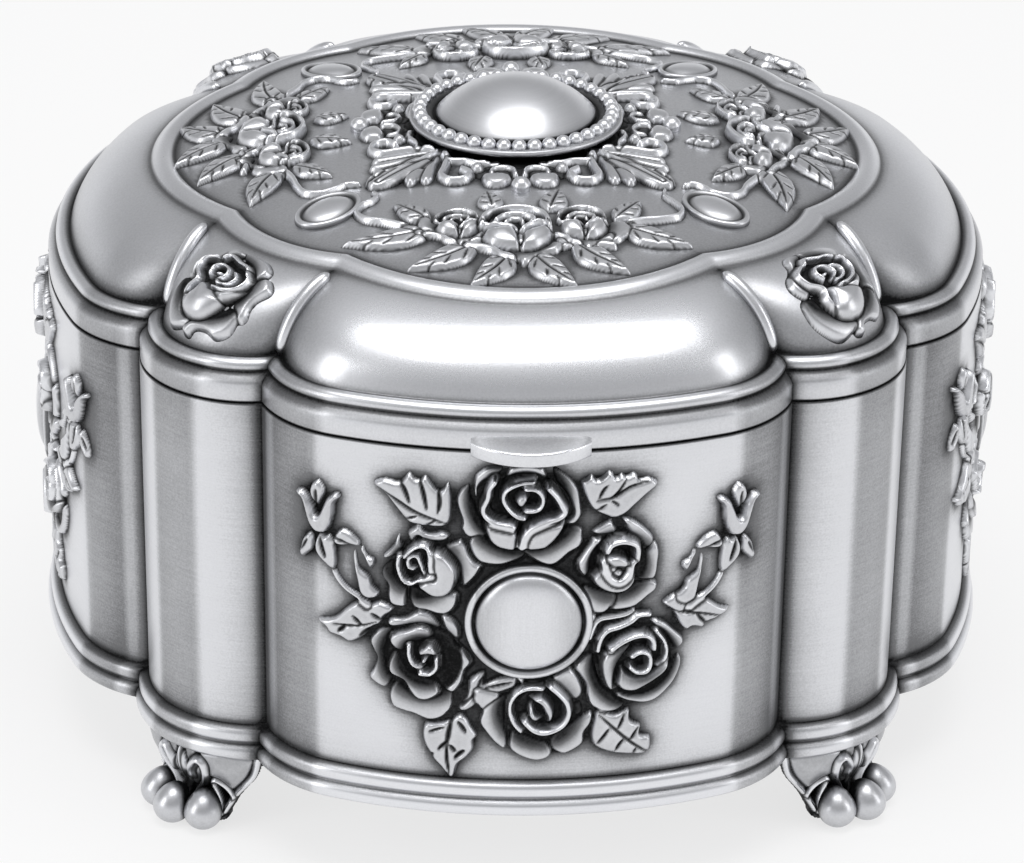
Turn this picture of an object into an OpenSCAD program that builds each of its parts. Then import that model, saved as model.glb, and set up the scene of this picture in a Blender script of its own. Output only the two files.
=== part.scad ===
// Rosary box: a footed, rose-garlanded casket in antiqued pewter, with a domed lid hinged at the back.
// The origin is on the table, midway between the four feet. +Z is up and the thumb tab faces -Y.
// Every outline is made of arcs: a bowed panel on each side, and a rounded column at each corner.

/* [Plan of the box] */
// Distance from the centre to the middle of a bowed panel
half_width = 60; // [59:0.5:61]
// Radius of the bow of a panel
panel_r = 62.6; // [61:0.5:65]
// Radius of the tighter round at each end of a panel
panel_end_r = 14.6; // [14:0.2:15.2]
// Half of the angle that a panel's main bow spans
panel_half_angle = 21.65; // [21:0.25:22.5]
// Distance from each axis to the centre of a corner column
column_c = 32.6; // [32.2:0.2:33.2]
// Radius of a corner column
column_r = 14.1; // [13.8:0.1:14.5]

/* [Body] */
// Height of the feet under the base moulding
foot_h = 11; // [10:0.5:12]
// Height of the body from the base moulding to the parting line
body_h = 48.5; // [46:0.5:52]
// Thickness of the cast walls
wall = 1.6; // [1.4:0.1:2]
// Thickness of the floor plate
floor_t = 1.5; // [1.2:0.1:1.6]
// Radius of one toe of a foot
toe_r = 2.45; // [2.2:0.05:2.6]

/* [Lid] */
// Height of the top of the lid's field above the parting line, at the centre
field_rise = 17.1; // [16:0.1:18]
// Radius of the shallow dome that the field is part of
field_r = 250; // [220:10:300]
// Distance from the centre to the raised ring, at the middle of a panel
ring_apex = 46.6; // [46:0.2:47]
// Width of the raised ring round the field
ring_w = 3; // [2.6:0.2:3.4]
// Width of the thumb tab
tab_w = 14; // [12:1:16]
// Reach of the thumb tab past the rim
tab_reach = 3.2; // [2.6:0.2:3.6]

/* [Boss] */
// Radius of the boss plate on the lid
boss_plate_r = 13.6; // [13:0.2:14]
// Beads in the ring round the boss
bead_count = 40; // [36:1:42]
// Radius of the smooth boss
boss_r = 10.3; // [9.8:0.1:10.6]
// Height of the smooth boss
boss_h = 4.6; // [4:0.2:5]

/* [Relief] */
// Radius of the cabochon in the middle of each panel
cabochon_r = 7.6; // [7:0.2:8]
// Height of the cabochon above the panel
cabochon_h = 2.5; // [2:0.1:3]
// Height of a rose above the surface that carries it
rose_h = 2.1; // [1.6:0.1:2.4]
// Height of a leaf above the surface that carries it
leaf_h = 1.1; // [0.8:0.1:1.4]

/* [Hinge] */
// Radius of the hinge knuckles
knuckle_r = 1.9; // [1.8:0.1:2]
// Radius of the hinge pin
pin_r = 0.8; // [0.7:0.05:0.9]
// Length of the hinge barrel
hinge_w = 30; // [26:1:32]

/* [Hidden] */

pewter = "#a9abb3";
dark_pewter = "#85878f";
bright_pewter = "#c3c6ce";
velvet = "#5a1020";
steel = "#8d9094";

// Steps along a panel's bow, along each of its ends, and round a column
bow_steps = 8;
end_steps = 3;
column_steps = 8;

z_base = foot_h;
z_part = z_base + body_h;
clear = 0.05;
cut = 0.4;

panel_c = [0, panel_r - half_width];
end_c = panel_c + (panel_r - panel_end_r) * [sin(panel_half_angle), -cos(panel_half_angle)];
corner_c = [column_c, -column_c];

// Raised ring: a lobe facing each panel and a shallower lobe across each corner, meeting in cusps
cusp = [22.7, -37.3];
corner_lobe_apex = 44.8;
ring_sag = ring_apex + cusp.y;
ring_lobe_r = (cusp.x * cusp.x + ring_sag * ring_sag) / (2 * ring_sag);
ring_lobe_c = [0, ring_lobe_r - ring_apex];
lobe_half = (-cusp.y - cusp.x) / sqrt(2);
lobe_sag = corner_lobe_apex - (cusp.x - cusp.y) / sqrt(2);
corner_lobe_r = (lobe_half * lobe_half + lobe_sag * lobe_sag) / (2 * lobe_sag);
corner_lobe_c = (corner_lobe_apex - corner_lobe_r) / sqrt(2) * [1, -1];

// ---------------------------------------------------------------- outlines

function heading(c, p) = atan2(p.y - c.y, p.x - c.x);
function mirrored(p) = [-p.x, p.y];
function at_height(points, z) = [for (p = points) [p.x, p.y, z]];
function blend(a, b, t) = a * (1 - t) + b * t;
function turned(p, angle) = [p.x * cos(angle) - p.y * sin(angle), p.x * sin(angle) + p.y * cos(angle)];

// Where two circles cross, on the side away from the centre of the box
function crossing(c0, r0, c1, r1) =
    let (v = c1 - c0,
        gap = norm(v),
        along = (r0 * r0 - r1 * r1 + gap * gap) / (2 * gap),
        aside = sqrt(r0 * r0 - along * along),
        foot = c0 + v * along / gap,
        step = [-v.y, v.x] * aside / gap)
    norm(foot + step) > norm(foot - step) ? foot + step : foot - step;

// Points along an arc, without its last one
function arc(c, r, from, to, steps) =
    [for (i = [0:steps - 1]) let (a = from + (to - from) * i / steps) c + r * [cos(a), sin(a)]];

// One quarter of the box's outline, moved outwards by d: the front panel and the column to its right
function quarter(d) =
    let (groove = crossing(end_c, panel_end_r + d, corner_c, column_r + d),
        end_a = heading(end_c, groove),
        column_a = heading(corner_c, groove))
    concat(
        arc(mirrored(end_c), panel_end_r + d, 180 - end_a, 270 - panel_half_angle, end_steps),
        arc(panel_c, panel_r + d, 270 - panel_half_angle, 270 + panel_half_angle, bow_steps),
        arc(end_c, panel_end_r + d, 270 + panel_half_angle, 360 + end_a, end_steps),
        arc(corner_c, column_r + d, 360 + column_a, 270 - column_a, column_steps));

// One quarter of the raised ring's outline, moved outwards by d, with as many points
function ring_quarter(d) =
    let (groove = crossing(ring_lobe_c, ring_lobe_r + d, corner_lobe_c, corner_lobe_r + d),
        lobe_a = 360 + heading(ring_lobe_c, groove),
        corner_a = heading(corner_lobe_c, groove),
        end_share = 0.175,
        shares = concat(
            [for (i = [0:end_steps - 1]) end_share * i / end_steps],
            [for (i = [0:bow_steps - 1]) end_share + (1 - 2 * end_share) * i / bow_steps],
            [for (i = [0:end_steps - 1]) 1 - end_share + end_share * i / end_steps]))
    concat(
        [for (s = shares) let (a = blend(540 - lobe_a, lobe_a, s))
            ring_lobe_c + (ring_lobe_r + d) * [cos(a), sin(a)]],
        arc(corner_lobe_c, corner_lobe_r + d, 360 + corner_a, 270 - corner_a, column_steps));

function all_round(points) = [for (k = [0:3]) for (p = points) turned(p, 90 * k)];
function outline(d) = all_round(quarter(d));

// Outline drawn in by more than its tightest arcs allow, by scaling the deepest true offset
deepest = -5;
function inner_outline(d) = outline(deepest) * (half_width + d) / (half_width + deepest);
function ring_outline(d) = all_round(ring_quarter(d));

// Height of the lid's field at a point, above the table
function field_z(p) = z_part + field_rise - (p.x * p.x + p.y * p.y) / (2 * field_r);
function on_field(points, lift) = [for (p = points) [p.x, p.y, field_z(p) + lift]];

// ---------------------------------------------------------------- general solids

// The box's outline as a flat shape of true arcs, moved outwards by d
module plan(d) {
    edge = 2 * panel_r * [sin(panel_half_angle), -cos(panel_half_angle)];
    for (k = [0:3])
        rotate(90 * k) {
            intersection() {
                translate(panel_c) circle(r = panel_r + d, $fn = 180);
                polygon([panel_c, panel_c + mirrored(edge), panel_c + edge]);
            }
            for (c = [end_c, mirrored(end_c)])
                translate(c) circle(r = panel_end_r + d, $fn = 64);
            translate(corner_c) circle(r = column_r + d, $fn = 64);
        }
    polygon([for (k = [0:3]) for (p = [mirrored(end_c), end_c, corner_c]) turned(p, 90 * k)]);
}

// Plate, or wall where hollow is given, that follows the plan between two heights
module plan_plate(d, low, high, hollow = undef) {
    translate([0, 0, low])
        linear_extrude(height = high - low)
            difference() {
                plan(d);
                if (hollow != undef) plan(hollow);
            }
}

// Skin through a list of rings with equal counts, listed from the bottom up, each counter-clockwise
module skin(rings, closed = false) {
    n = len(rings[0]);
    m = len(rings);
    sides = [for (j = [0:closed ? m - 1 : m - 2]) for (i = [0:n - 1])
        let (a = j * n + i, b = j * n + (i + 1) % n, up = (j + 1) % m * n)
        each [[a, up + i, b], [b, up + i, up + (i + 1) % n]]];
    caps = closed ? [] : [[for (i = [0:n - 1]) i], [for (i = [n - 1:-1:0]) (m - 1) * n + i]];
    polyhedron(points = [for (ring = rings) each ring], faces = concat(sides, caps));
}

// Solid block of the body's outside, used to seat what is mounted on the panels
module panel_block(lift) {
    plan_plate(lift, z_base, z_part);
}

// Puts children on the front panel: s is the way round the bow, h the height above the base moulding
module on_panel(s, h) {
    translate([panel_c.x, panel_c.y, z_base + h])
        rotate([0, 0, s / panel_r * 180 / PI])
            translate([0, -panel_r, 0])
                rotate([90, 0, 0])
                    children();
}

// Puts children on the lid's field at x, y, square to its slope and turned by angle
module on_lid(x, y, angle = 0) {
    slope = atan(norm([x, y]) / field_r);
    translate([x, y, field_z([x, y])])
        rotate(slope, [-y, x, 0])
            rotate([0, 0, angle])
                children();
}

// ---------------------------------------------------------------- relief

// Open rose: whorls of five petals, each whorl cupped inside the one before
module rose(r, h, turn = 0) {
    whorls = [[1.04, -cut, 0.10, 0], [0.84, 0.8, 0.09, 10], [0.6, 0.5, 0.08, 36], [0.4, 1, 0.06, 50]];
    petal_steps = 10;
    rotate([0, 0, turn])
        skin([for (w = whorls)
            [for (i = [0:petal_steps - 1])
                let (a = 360 * i / petal_steps, reach = r * w[0] * (1 + w[2] * cos(5 * a)))
                [reach * cos(a + w[3]), reach * sin(a + w[3]), w[1] < 0 ? w[1] : w[1] * h]]]);
}

// Pointed leaf along +X, with a sunk midrib and raised halves
module leaf(length, width, h, turn = 0) {
    stations = [[0, 0.35, 0.7], [0.45, 1, 1], [1, 0.06, 0.4]];
    rotate([0, 0, turn])
        rotate([0, 90, 0])
            skin([for (s = stations)
                let (w = width * s[1] / 2, x = length * s[0])
                [[cut, -w, x], [cut, w, x], [-h * s[2], w * 0.6, x], [-h * s[2] * 0.5, 0, x],
                    [-h * s[2], -w * 0.6, x]]]);
}

// Round stem through a list of points, each with its radius
module stem(path) {
    sides = 5;
    last = len(path) - 1;
    skin([for (k = [0:last])
        let (p = path[k],
            a = path[max(k - 1, 0)],
            b = path[min(k + 1, last)],
            way = [b.x - a.x, b.y - a.y, 0] / norm([b.x - a.x, b.y - a.y, 0]),
            across = [-way.y, way.x, 0])
        [for (i = [0:sides - 1]) let (t = 360 * i / sides + 90)
            [p.x, p.y, p[2]] + p[3] * (across * cos(t) + [0, 0, 1] * sin(t))]]);
}

// Half-open bud on a stem, pointing along +Y
module bud(length, h) {
    leaf(length, length * 0.55, h * 1.3, 90);
    leaf(length * 0.75, length * 0.3, h, 128);
}

// Spray of six roses round the cabochon, with leaves and two buds, cast in one
module rose_spray() {
    difference() {
        union() {
            on_panel(-1, 40.2) rose(6.3, rose_h, 18);
            on_panel(-11.6, 32.8) rose(6.2, rose_h, 50);
            on_panel(9.8, 33.6) rose(6, rose_h, -10);
            on_panel(-12.7, 20) rose(6.3, rose_h, 30);
            on_panel(12.4, 20.7) rose(6.5, rose_h, 5);
            on_panel(1, 13.4) rose(6.7, rose_h, 40);
            on_panel(-5, 36.5) leaf(15, 7, leaf_h, 150);
            on_panel(3, 37) leaf(14, 7, leaf_h, 34);
            on_panel(-13, 26) leaf(13, 6.5, leaf_h, 187);
            on_panel(13, 26.6) leaf(12.5, 6.5, leaf_h, -5);
            on_panel(-7, 16) leaf(11.5, 6, leaf_h, 260);
            on_panel(6, 14) leaf(11.5, 6, leaf_h, -38);
            for (side = [-1, 1])
                on_panel(side * 15, 28.5) {
                    stem([[0, 0, 0.3, 0.8], [side * 5, 5, 0.4, 0.7], [side * 9, 8.5, 0.4, 0.6]]);
                    translate([side * 8.6, 7, 0]) rotate([0, 0, -12 * side]) bud(6, leaf_h);
                }
        }
        panel_block(clear);
        on_panel(0, 26.5) cylinder(h = 2 * cabochon_h, r = cabochon_r + clear, center = true, $fn = 20);
    }
}

// Smooth cabochon in its turned rim, seated flat on the back of its seat
module cabochon() {
    on_panel(0, 26.5)
        translate([0, 0, clear])
            rotate_extrude($fn = 20)
                polygon([[0, 0], [cabochon_r, 0], [cabochon_r, 1.1], [cabochon_r - 1, 1.1],
                    [cabochon_r - 1.2, 0.7], [cabochon_r * 0.5, 2], [0, cabochon_h]]);
}

// Garland of three roses and their leaves on the lid's field, cast in one
module garland() {
    difference() {
        union() {
            on_lid(-8.1, -28.2) rose(4, rose_h, 10);
            on_lid(-0.8, -30.2) rose(4.7, rose_h, 40);
            on_lid(6.9, -28.4) rose(4.3, rose_h, 0);
            on_lid(-9, -28.8) leaf(13.5, 4.8, leaf_h, 194);
            on_lid(-5, -31) leaf(12.5, 5, leaf_h, 222);
            on_lid(-2, -33) leaf(10.3, 5, leaf_h, 244);
            on_lid(0.8, -33) leaf(10.3, 5, leaf_h, 297);
            on_lid(4.4, -31) leaf(12.5, 5, leaf_h, 320);
            on_lid(8.4, -29) leaf(13.5, 4.8, leaf_h, -19);
            on_lid(-9, -26.5) leaf(6.5, 3.6, leaf_h, 122);
            on_lid(8.4, -26.6) leaf(6.5, 3.6, leaf_h, 58);
            for (side = [-1, 1])
                on_lid(side * 10, -27.4)
                    stem([[0, 0, 0.3, 0.8], [side * 6, 1.5, 0.4, 0.65], [side * 8, 4, 0.4, 0.6],
                        [side * 6.6, 7, 0.4, 0.5]]);
        }
        field_block(clear);
    }
}

// Full rose on a corner of the lid, between the two ribs
module corner_rose() {
    reach = 52.6 / sqrt(2);
    slope = 38;
    difference() {
        translate([reach, -reach, z_part + 10.9])
            rotate([0, 0, -45])
                rotate([0, slope, 0])
                    rotate([0, 0, 90]) {
                        translate([0, 1.2, -0.6]) rose(4.9, rose_h + 0.6, 20);
                        translate([-1, -1, -0.6]) leaf(6.4, 4.4, leaf_h + 0.6, 215);
                        translate([1, -1, -0.6]) leaf(6.4, 4.4, leaf_h + 0.6, 325);
                    }
        corner_block(clear);
    }
}

// Oval stud with a raised rim, on a diagonal of the field
module oval_stud() {
    half = [4.3, 2.6];
    levels = [[1, -cut], [1, 0.5], [0.82, 0.5], [0.6, 1.1]];
    oval_steps = 12;
    difference() {
        on_lid(24.3, -24.3, 45)
            skin([for (level = levels)
                [for (i = [0:oval_steps - 1])
                    let (a = 360 * i / oval_steps)
                    [half.x * level[0] * cos(a), half.y * level[0] * sin(a), level[1]]]]);
        field_block(clear);
    }
}

// ---------------------------------------------------------------- body

// Steps of the base moulding, as [outwards, height above the base]: a large bead and a small one
moulding = [[1.2, 0], [1.7, 0.5], [1.75, 1.3], [0.95, 2.25], [1.3, 2.8], [1.25, 3.7], [-0.1, 4.45]];
moulding_back = [[-0.8, 4.45], [-0.8, 0]];
ledge_w = 3.4;
ledge_t = 1.5;

// Cast wall with its base moulding, an inner ledge for the floor plate and a boss in each corner
module body_shell() {
    color(pewter)
        difference() {
            union() {
                plan_plate(0, z_base, z_part, -wall);
                plan_plate(-wall / 2, z_base + floor_t, z_base + floor_t + ledge_t, -wall - ledge_w);
                skin([for (p = concat(moulding, moulding_back)) at_height(outline(p[0]), z_base + p[1])], true);
                at_corners()
                    translate([0, 0, z_base + floor_t])
                        rotate([0, 0, -45]) {
                            cylinder(h = boss_top - floor_t, r = post_r, $fn = 16);
                            translate([2, -post_web / 2, 0])
                                cube([column_r - 2.8, post_web, boss_top - floor_t - 0.5]);
                        }
            }
            at_corners() translate([0, 0, z_base]) cylinder(h = boss_top + 1, r = pilot_r, $fn = 16);
            rivet_holes(lug_rivet_angles, z_part - rivet_z);
        }
}

boss_top = 6;
post_r = 4.2;
post_web = 3;
pilot_r = 1.25;
screw_r = 1.2;
shank_clear_r = 1.6;

// Puts children at the centre of each corner column
module at_corners() {
    for (k = [0:3])
        rotate([0, 0, 90 * k])
            translate([column_c, -column_c, 0])
                children();
}

// Pressed plate that closes the underside, held by the foot screws
module floor_plate() {
    color(dark_pewter)
        difference() {
            plan_plate(-wall - clear, z_base, z_base + floor_t);
            at_corners() translate([0, 0, z_base - 1]) cylinder(h = floor_t + 2, r = shank_clear_r, $fn = 16);
        }
}

// Velvet on card round the inside of the walls
module body_lining() {
    color(velvet)
        plan_plate(-wall - clear, z_base + boss_top + 0.3, z_part - 0.8, -wall - 1.2);
}

// Padded velvet board that lies on the corner bosses
module floor_cushion() {
    sides = [[-wall - 1.6, 0], [-wall - 1.4, 1], [-wall - 1.8, 1.7]];
    crown = [[-6, 2.3], [-11, 2.9], [-26, 3.4]];
    foot_z = z_base + boss_top;
    color(velvet)
        skin(concat(
            [for (p = sides) at_height(outline(p[0]), foot_z + p[1])],
            [for (p = crown) at_height(inner_outline(p[0]), foot_z + p[1])]));
}

// ---------------------------------------------------------------- feet

// Bracket foot under a corner: a curved shield narrowing to an ankle, scrolls on the knee, three toes
module foot() {
    levels = [[0, 14.3, 50], [-2.6, 13.9, 42], [-5.4, 13, 28], [-8.6, 13.8, 15]];
    shield_t = 2.4;
    shield_steps = 4;
    lug_h = 5.5;
    translate([column_c, -column_c, z_base])
        rotate([0, 0, -45])
            difference() {
                union() {
                    skin([for (j = [len(levels) - 1:-1:0])
                        let (z = levels[j][0], r = levels[j][1], half = levels[j][2])
                        concat(
                            [for (i = [0:shield_steps]) let (a = -half + 2 * half * i / shield_steps)
                                [r * cos(a), r * sin(a), z]],
                            [for (i = [shield_steps:-1:0]) let (a = -half + 2 * half * i / shield_steps)
                                [(r - shield_t) * cos(a), (r - shield_t) * sin(a), z]])]);
                    for (toe = [[15.6, 0], [14.6, 15.8], [14.6, -15.8]])
                        rotate([0, 0, toe[1]])
                            translate([toe[0], 0, toe_r - 0.2 - foot_h])
                                sphere(r = toe_r, $fn = 10);
                    for (side = [-1, 1])
                        rotate([0, 0, side * 20])
                            translate([13.2, 0, -3.6])
                                rotate([90, 0, 90])
                                    stem([[1.4, 1.8, 0, 0.8], [-1.2, 1.2, 0, 0.9], [0, -2.6, 0, 0.8]]);
                    translate([0, 0, -lug_h]) cylinder(h = lug_h, r = post_r, $fn = 16);
                    translate([2, -1.2, -lug_h + 1.2]) cube([10.4, 2.4, lug_h - 2]);
                }
                translate([0, 0, -lug_h - 1]) cylinder(h = lug_h + 2, r = shank_clear_r, $fn = 14);
                translate([0, 0, -lug_h - 1]) cylinder(h = 3.2, r = 3, $fn = 16);
                translate([0, 0, -foot_h - 10]) cube([80, 80, 20], center = true);
            }
}

module foot_at(quarter_turn) {
    color(pewter)
        rotate([0, 0, 90 * quarter_turn])
            foot();
}

module foot_front_right() { foot_at(0); }
module foot_back_right() { foot_at(1); }
module foot_back_left() { foot_at(2); }
module foot_front_left() { foot_at(3); }

// Pan-head screws that hold the feet and the floor plate to the corner bosses
module foot_screws() {
    head_z = -3.3;
    color(steel)
        at_corners()
            translate([0, 0, z_base]) {
                translate([0, 0, head_z - 1.6]) cylinder(h = 1.6, r = 2.5, $fn = 16);
                translate([0, 0, head_z - 0.1]) cylinder(h = 5 - head_z, r = screw_r, $fn = 14);
            }
}

module rose_spray_at(quarter_turn) {
    color(bright_pewter)
        rotate([0, 0, 90 * quarter_turn])
            rose_spray();
}

module rose_spray_front() { rose_spray_at(0); }
module rose_spray_right() { rose_spray_at(1); }
module rose_spray_back() { rose_spray_at(2); }
module rose_spray_left() { rose_spray_at(3); }

module cabochon_at(quarter_turn) {
    color(bright_pewter)
        rotate([0, 0, 90 * quarter_turn])
            difference() {
                cabochon();
                panel_block(clear);
            }
}

module cabochon_front() { cabochon_at(0); }
module cabochon_right() { cabochon_at(1); }
module cabochon_back() { cabochon_at(2); }
module cabochon_left() { cabochon_at(3); }

// ---------------------------------------------------------------- hinge

// The hinge is at the back, with its axis on the parting line just outside the rim
axis_y = half_width + 2.9;
knuckle_gap = 0.3;
lid_knuckle_w = 12;
leaf_h_out = 3.4;
leaf_gap = 0.4;
leaf_t = 0.6;
rivet_r = 0.7;
rivet_head_r = 0.85;
rivet_z = 1.9;
lid_rivet_angles = [-9, 9];
lug_rivet_angles = [-12.6, -8.2, 8.2, 12.6];

// Puts children on the back panel at each angle from its middle, with +Z pointing into the box
module at_rivets(angles, z, lift) {
    for (angle = angles)
        translate([0, -panel_c.y, z])
            rotate([0, 0, angle])
                translate([0, panel_r + lift, 0])
                    rotate([90, 0, 0])
                        children();
}

// Holes for the rivets, with room for their heads outside the leaf
module rivet_holes(angles, z) {
    at_rivets(angles, z, 3) {
        cylinder(h = 6 + wall, r = rivet_r + clear, $fn = 14);
        cylinder(h = 3 - leaf_t - clear, r = rivet_head_r + clear, $fn = 16);
    }
}

// Small flat rivets with their heads on a leaf of the hinge
module rivets(angles, z) {
    color(steel)
        at_rivets(angles, z, leaf_t + 2 * clear) {
            translate([0, 0, -0.3]) cylinder(h = 0.3, r = rivet_head_r, $fn = 16);
            translate([0, 0, -0.1]) cylinder(h = wall + leaf_t, r = rivet_r, $fn = 14);
        }
}

// Knuckle, its arm and its curved leaf against the back of the box, between x = from and x = to;
// side is 1 above the parting line and -1 below it
module hinge_lug(from, to, leaf_from, leaf_to, side) {
    low = side > 0 ? z_part + leaf_gap : z_part - leaf_h_out;
    high = side > 0 ? z_part + 2.6 : z_part - leaf_gap;
    arm_low = side > 0 ? z_part + leaf_gap : z_part - knuckle_r;
    arm_high = side > 0 ? z_part + knuckle_r : z_part - leaf_gap;
    intersection() {
        plan_plate(leaf_t + clear, low, high, clear);
        translate([leaf_from, half_width - 5, low]) cube([leaf_to - leaf_from, 8, high - low]);
    }
    difference() {
        union() {
            translate([from, axis_y, z_part])
                rotate([0, 90, 0])
                    cylinder(h = to - from, r = knuckle_r, $fn = 24);
            translate([from, half_width - 3, arm_low])
                cube([to - from, axis_y - half_width + 3, arm_high - arm_low]);
        }
        translate([0, 0, side > 0 ? body_h : 0]) panel_block(clear);
        translate([-hinge_w, axis_y, z_part])
            rotate([0, 90, 0])
                cylinder(h = 2 * hinge_w, r = pin_r + clear, $fn = 20);
    }
}

// Outer knuckles, one on each side, riveted to the back of the body just under the rim
module hinge_lug_right() {
    from = lid_knuckle_w / 2 + knuckle_gap;
    color(dark_pewter)
        difference() {
            hinge_lug(from, hinge_w / 2, from, hinge_w / 2, -1);
            rivet_holes(lug_rivet_angles, z_part - rivet_z);
        }
}

module hinge_lug_left() {
    color(dark_pewter)
        mirror([1, 0, 0])
            hinge_lug_right();
}

// Middle knuckle, with a wider leaf riveted to the rim of the lid
module hinge_lid_bracket() {
    color(dark_pewter)
        difference() {
            hinge_lug(-lid_knuckle_w / 2, lid_knuckle_w / 2, -12.5, 12.5, 1);
            rivet_holes(lid_rivet_angles, z_part + rivet_z);
        }
}

module hinge_pin() {
    color(steel)
        translate([-hinge_w / 2 - 0.5, axis_y, z_part])
            rotate([0, 90, 0])
                cylinder(h = hinge_w + 1, r = pin_r, $fn = 20);
}

module hinge_lug_rivets() { rivets(lug_rivet_angles, z_part - rivet_z); }
module hinge_lid_rivets() { rivets(lid_rivet_angles, z_part + rivet_z); }

// ---------------------------------------------------------------- lid

// Steps of the rim, as [outwards, height above the parting line]: a flat band, then a rounded bead
rim_profile = [[-0.1, 0], [-0.1, 2.6], [-0.6, 3.35], [-1.3, 3.6], [-1.25, 4.3], [-2.1, 4.95], [-3, 4.75]];
dome_steps = 4;
shoulder_in = -3;
shoulder_z = 4.75;
pad_r = 11;
field_bands = [37, 28, 19.5, pad_r + 0.4];
pad_h = 0.7;

// Part of the way up the shoulder of the dome: how far in, and how far up, from 0 to 1
function shoulder(t) =
    let (low = 14, high = 78, a = low + (high - low) * t)
    [(cos(low) - cos(a)) / (cos(low) - cos(high)), (sin(a) - sin(low)) / (sin(high) - sin(low))];

// Ring of points on the shoulder, between the rim and the raised ring
function shoulder_ring(t, rim_d, ring_d, drop) =
    let (low = outline(rim_d), high = ring_outline(ring_d), s = shoulder(t))
    [for (i = [0:len(low) - 1])
        let (p = blend(low[i], high[i], s[0]))
        [p.x, p.y, blend(z_part + shoulder_z, field_z(high[i]), s[1]) - drop]];

function circle_like(points, r) = [for (p = points) p / norm(p) * r];

// The outside of the lid, from the parting line up to the flat pad under the boss
function lid_outside(lift) = concat(
    [for (p = rim_profile) at_height(outline(p[0] + lift), z_part + p[1])],
    [for (i = [1:dome_steps - 1]) shoulder_ring(i / dome_steps, shoulder_in, 0, -lift)],
    [on_field(ring_outline(0), lift),
        on_field(ring_outline(-0.25 * ring_w), 0.75 + lift),
        on_field(ring_outline(-0.65 * ring_w), 0.8 + lift),
        on_field(ring_outline(-ring_w), lift)],
    [for (r = field_bands) on_field(circle_like(ring_outline(0), r), lift)],
    [at_height(circle_like(ring_outline(0), pad_r), z_part + field_rise + pad_h + lift)]);

function lid_inside() = [
    at_height(circle_like(ring_outline(0), 14), z_part + field_rise - wall),
    on_field(ring_outline(-ring_w - 1), -wall),
    shoulder_ring(0.5, shoulder_in - wall, -wall, wall),
    at_height(outline(shoulder_in - wall), z_part + 4),
    at_height(outline(-wall - 0.1), z_part + 3),
    at_height(outline(-wall - 0.1), z_part)];

// Turned block under the lid's field, used to seat what is mounted on it
module field_block(lift) {
    edge = 48;
    rotate_extrude($fn = 64)
        polygon(concat(
            [[0, z_part], [edge, z_part]],
            [for (r = concat(edge, field_bands)) [r, field_z([r, 0]) + lift]],
            [[0, field_z([0, 0]) + lift]]));
}

// Wedge of the lid under one corner, between its two grooves, used to seat the rose there
module corner_block(lift) {
    first = 2 * end_steps + bow_steps;
    edge = [18, -18];
    rings = lid_outside(lift);
    levels = [len(rim_profile) - 1:len(rim_profile) + dome_steps + 1];
    skin([for (j = levels)
        concat([for (i = [first - 1:first + column_steps + 1]) rings[j][i]],
            [[edge.x, edge.y, rings[j][first].z]])]);
}

// Raised rib that runs up a groove line of the dome, from the rim to the raised ring
module rib(mirror_side) {
    rib_r = 1.05;
    outer = [30, -44.6];
    inner = [23.6, -38.9];
    rib_steps = 5;
    sides = 5;
    mirror_plane = mirror_side ? [1, 1, 0] : [0, 0, 0];
    mirror(mirror_plane)
        skin([for (k = [0:rib_steps])
            let (t = k / rib_steps,
                s = shoulder(t),
                p = blend(outer, inner, s[0]),
                z = blend(z_part + shoulder_z - 0.2, field_z(inner) - 0.2, s[1]),
                next = shoulder(min(t + 0.05, 1)),
                prev = shoulder(max(t - 0.05, 0)),
                level = (inner - outer) / norm(inner - outer),
                run = (next[0] - prev[0]) * norm(inner - outer),
                rise = (next[1] - prev[1]) * (field_z(inner) - z_part - shoulder_z),
                long = norm([run, rise]),
                normal = [-level.x * rise, -level.y * rise, run] / long,
                across = [level.y, -level.x, 0],
                swell = k == 0 || k == rib_steps ? 0.5 : 1)
            [for (i = [0:sides - 1]) let (a = -360 * i / sides)
                [p.x, p.y, z] + rib_r * swell * (across * cos(a) + normal * sin(a) * 0.9)]]);
}

// Crescent tab under the thumb, on the band of the rim
module thumb_tab() {
    tab_r = (tab_w * tab_w / 4 + tab_reach * tab_reach) / (2 * tab_reach);
    difference() {
        translate([0, -half_width - tab_reach + tab_r, z_part + 0.1])
            cylinder(h = 2, r1 = tab_r - 0.3, r2 = tab_r, $fn = 64);
        plan_plate(-0.6, z_part - 1, z_part + 4);
    }
}

// Domed lid with its rim moulding, ribs, raised ring and thumb tab, cast in one
module lid_shell() {
    color(pewter)
        difference() {
            union() {
                skin(concat(lid_inside(), lid_outside(0)));
                for (k = [0:3])
                    rotate([0, 0, 90 * k]) {
                        rib(false);
                        rib(true);
                    }
                thumb_tab();
            }
            rivet_holes(lid_rivet_angles, z_part + rivet_z);
            translate([0, 0, z_part + field_rise - 5]) cylinder(h = 10, r = shank_clear_r, $fn = 20);
        }
}

// Padded velvet panel in the hollow of the lid
module lid_cushion() {
    crown = [[-22, 0.4], [-9, 0.8], [-5.5, 1.2]];
    sides = [[-wall - 0.8, 2], [-wall - 0.5, 2.9]];
    color(velvet)
        skin(concat(
            [for (p = crown) at_height(inner_outline(p[0]), z_part + p[1])],
            [for (p = sides) at_height(outline(p[0]), z_part + p[1])]));
}

module corner_rose_at(quarter_turn) {
    color(bright_pewter)
        rotate([0, 0, 90 * quarter_turn])
            corner_rose();
}

module corner_rose_front_right() { corner_rose_at(0); }
module corner_rose_back_right() { corner_rose_at(1); }
module corner_rose_back_left() { corner_rose_at(2); }
module corner_rose_front_left() { corner_rose_at(3); }

module garland_at(quarter_turn) {
    color(bright_pewter)
        rotate([0, 0, 90 * quarter_turn])
            garland();
}

module garland_front() { garland_at(0); }
module garland_right() { garland_at(1); }
module garland_back() { garland_at(2); }
module garland_left() { garland_at(3); }

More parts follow.
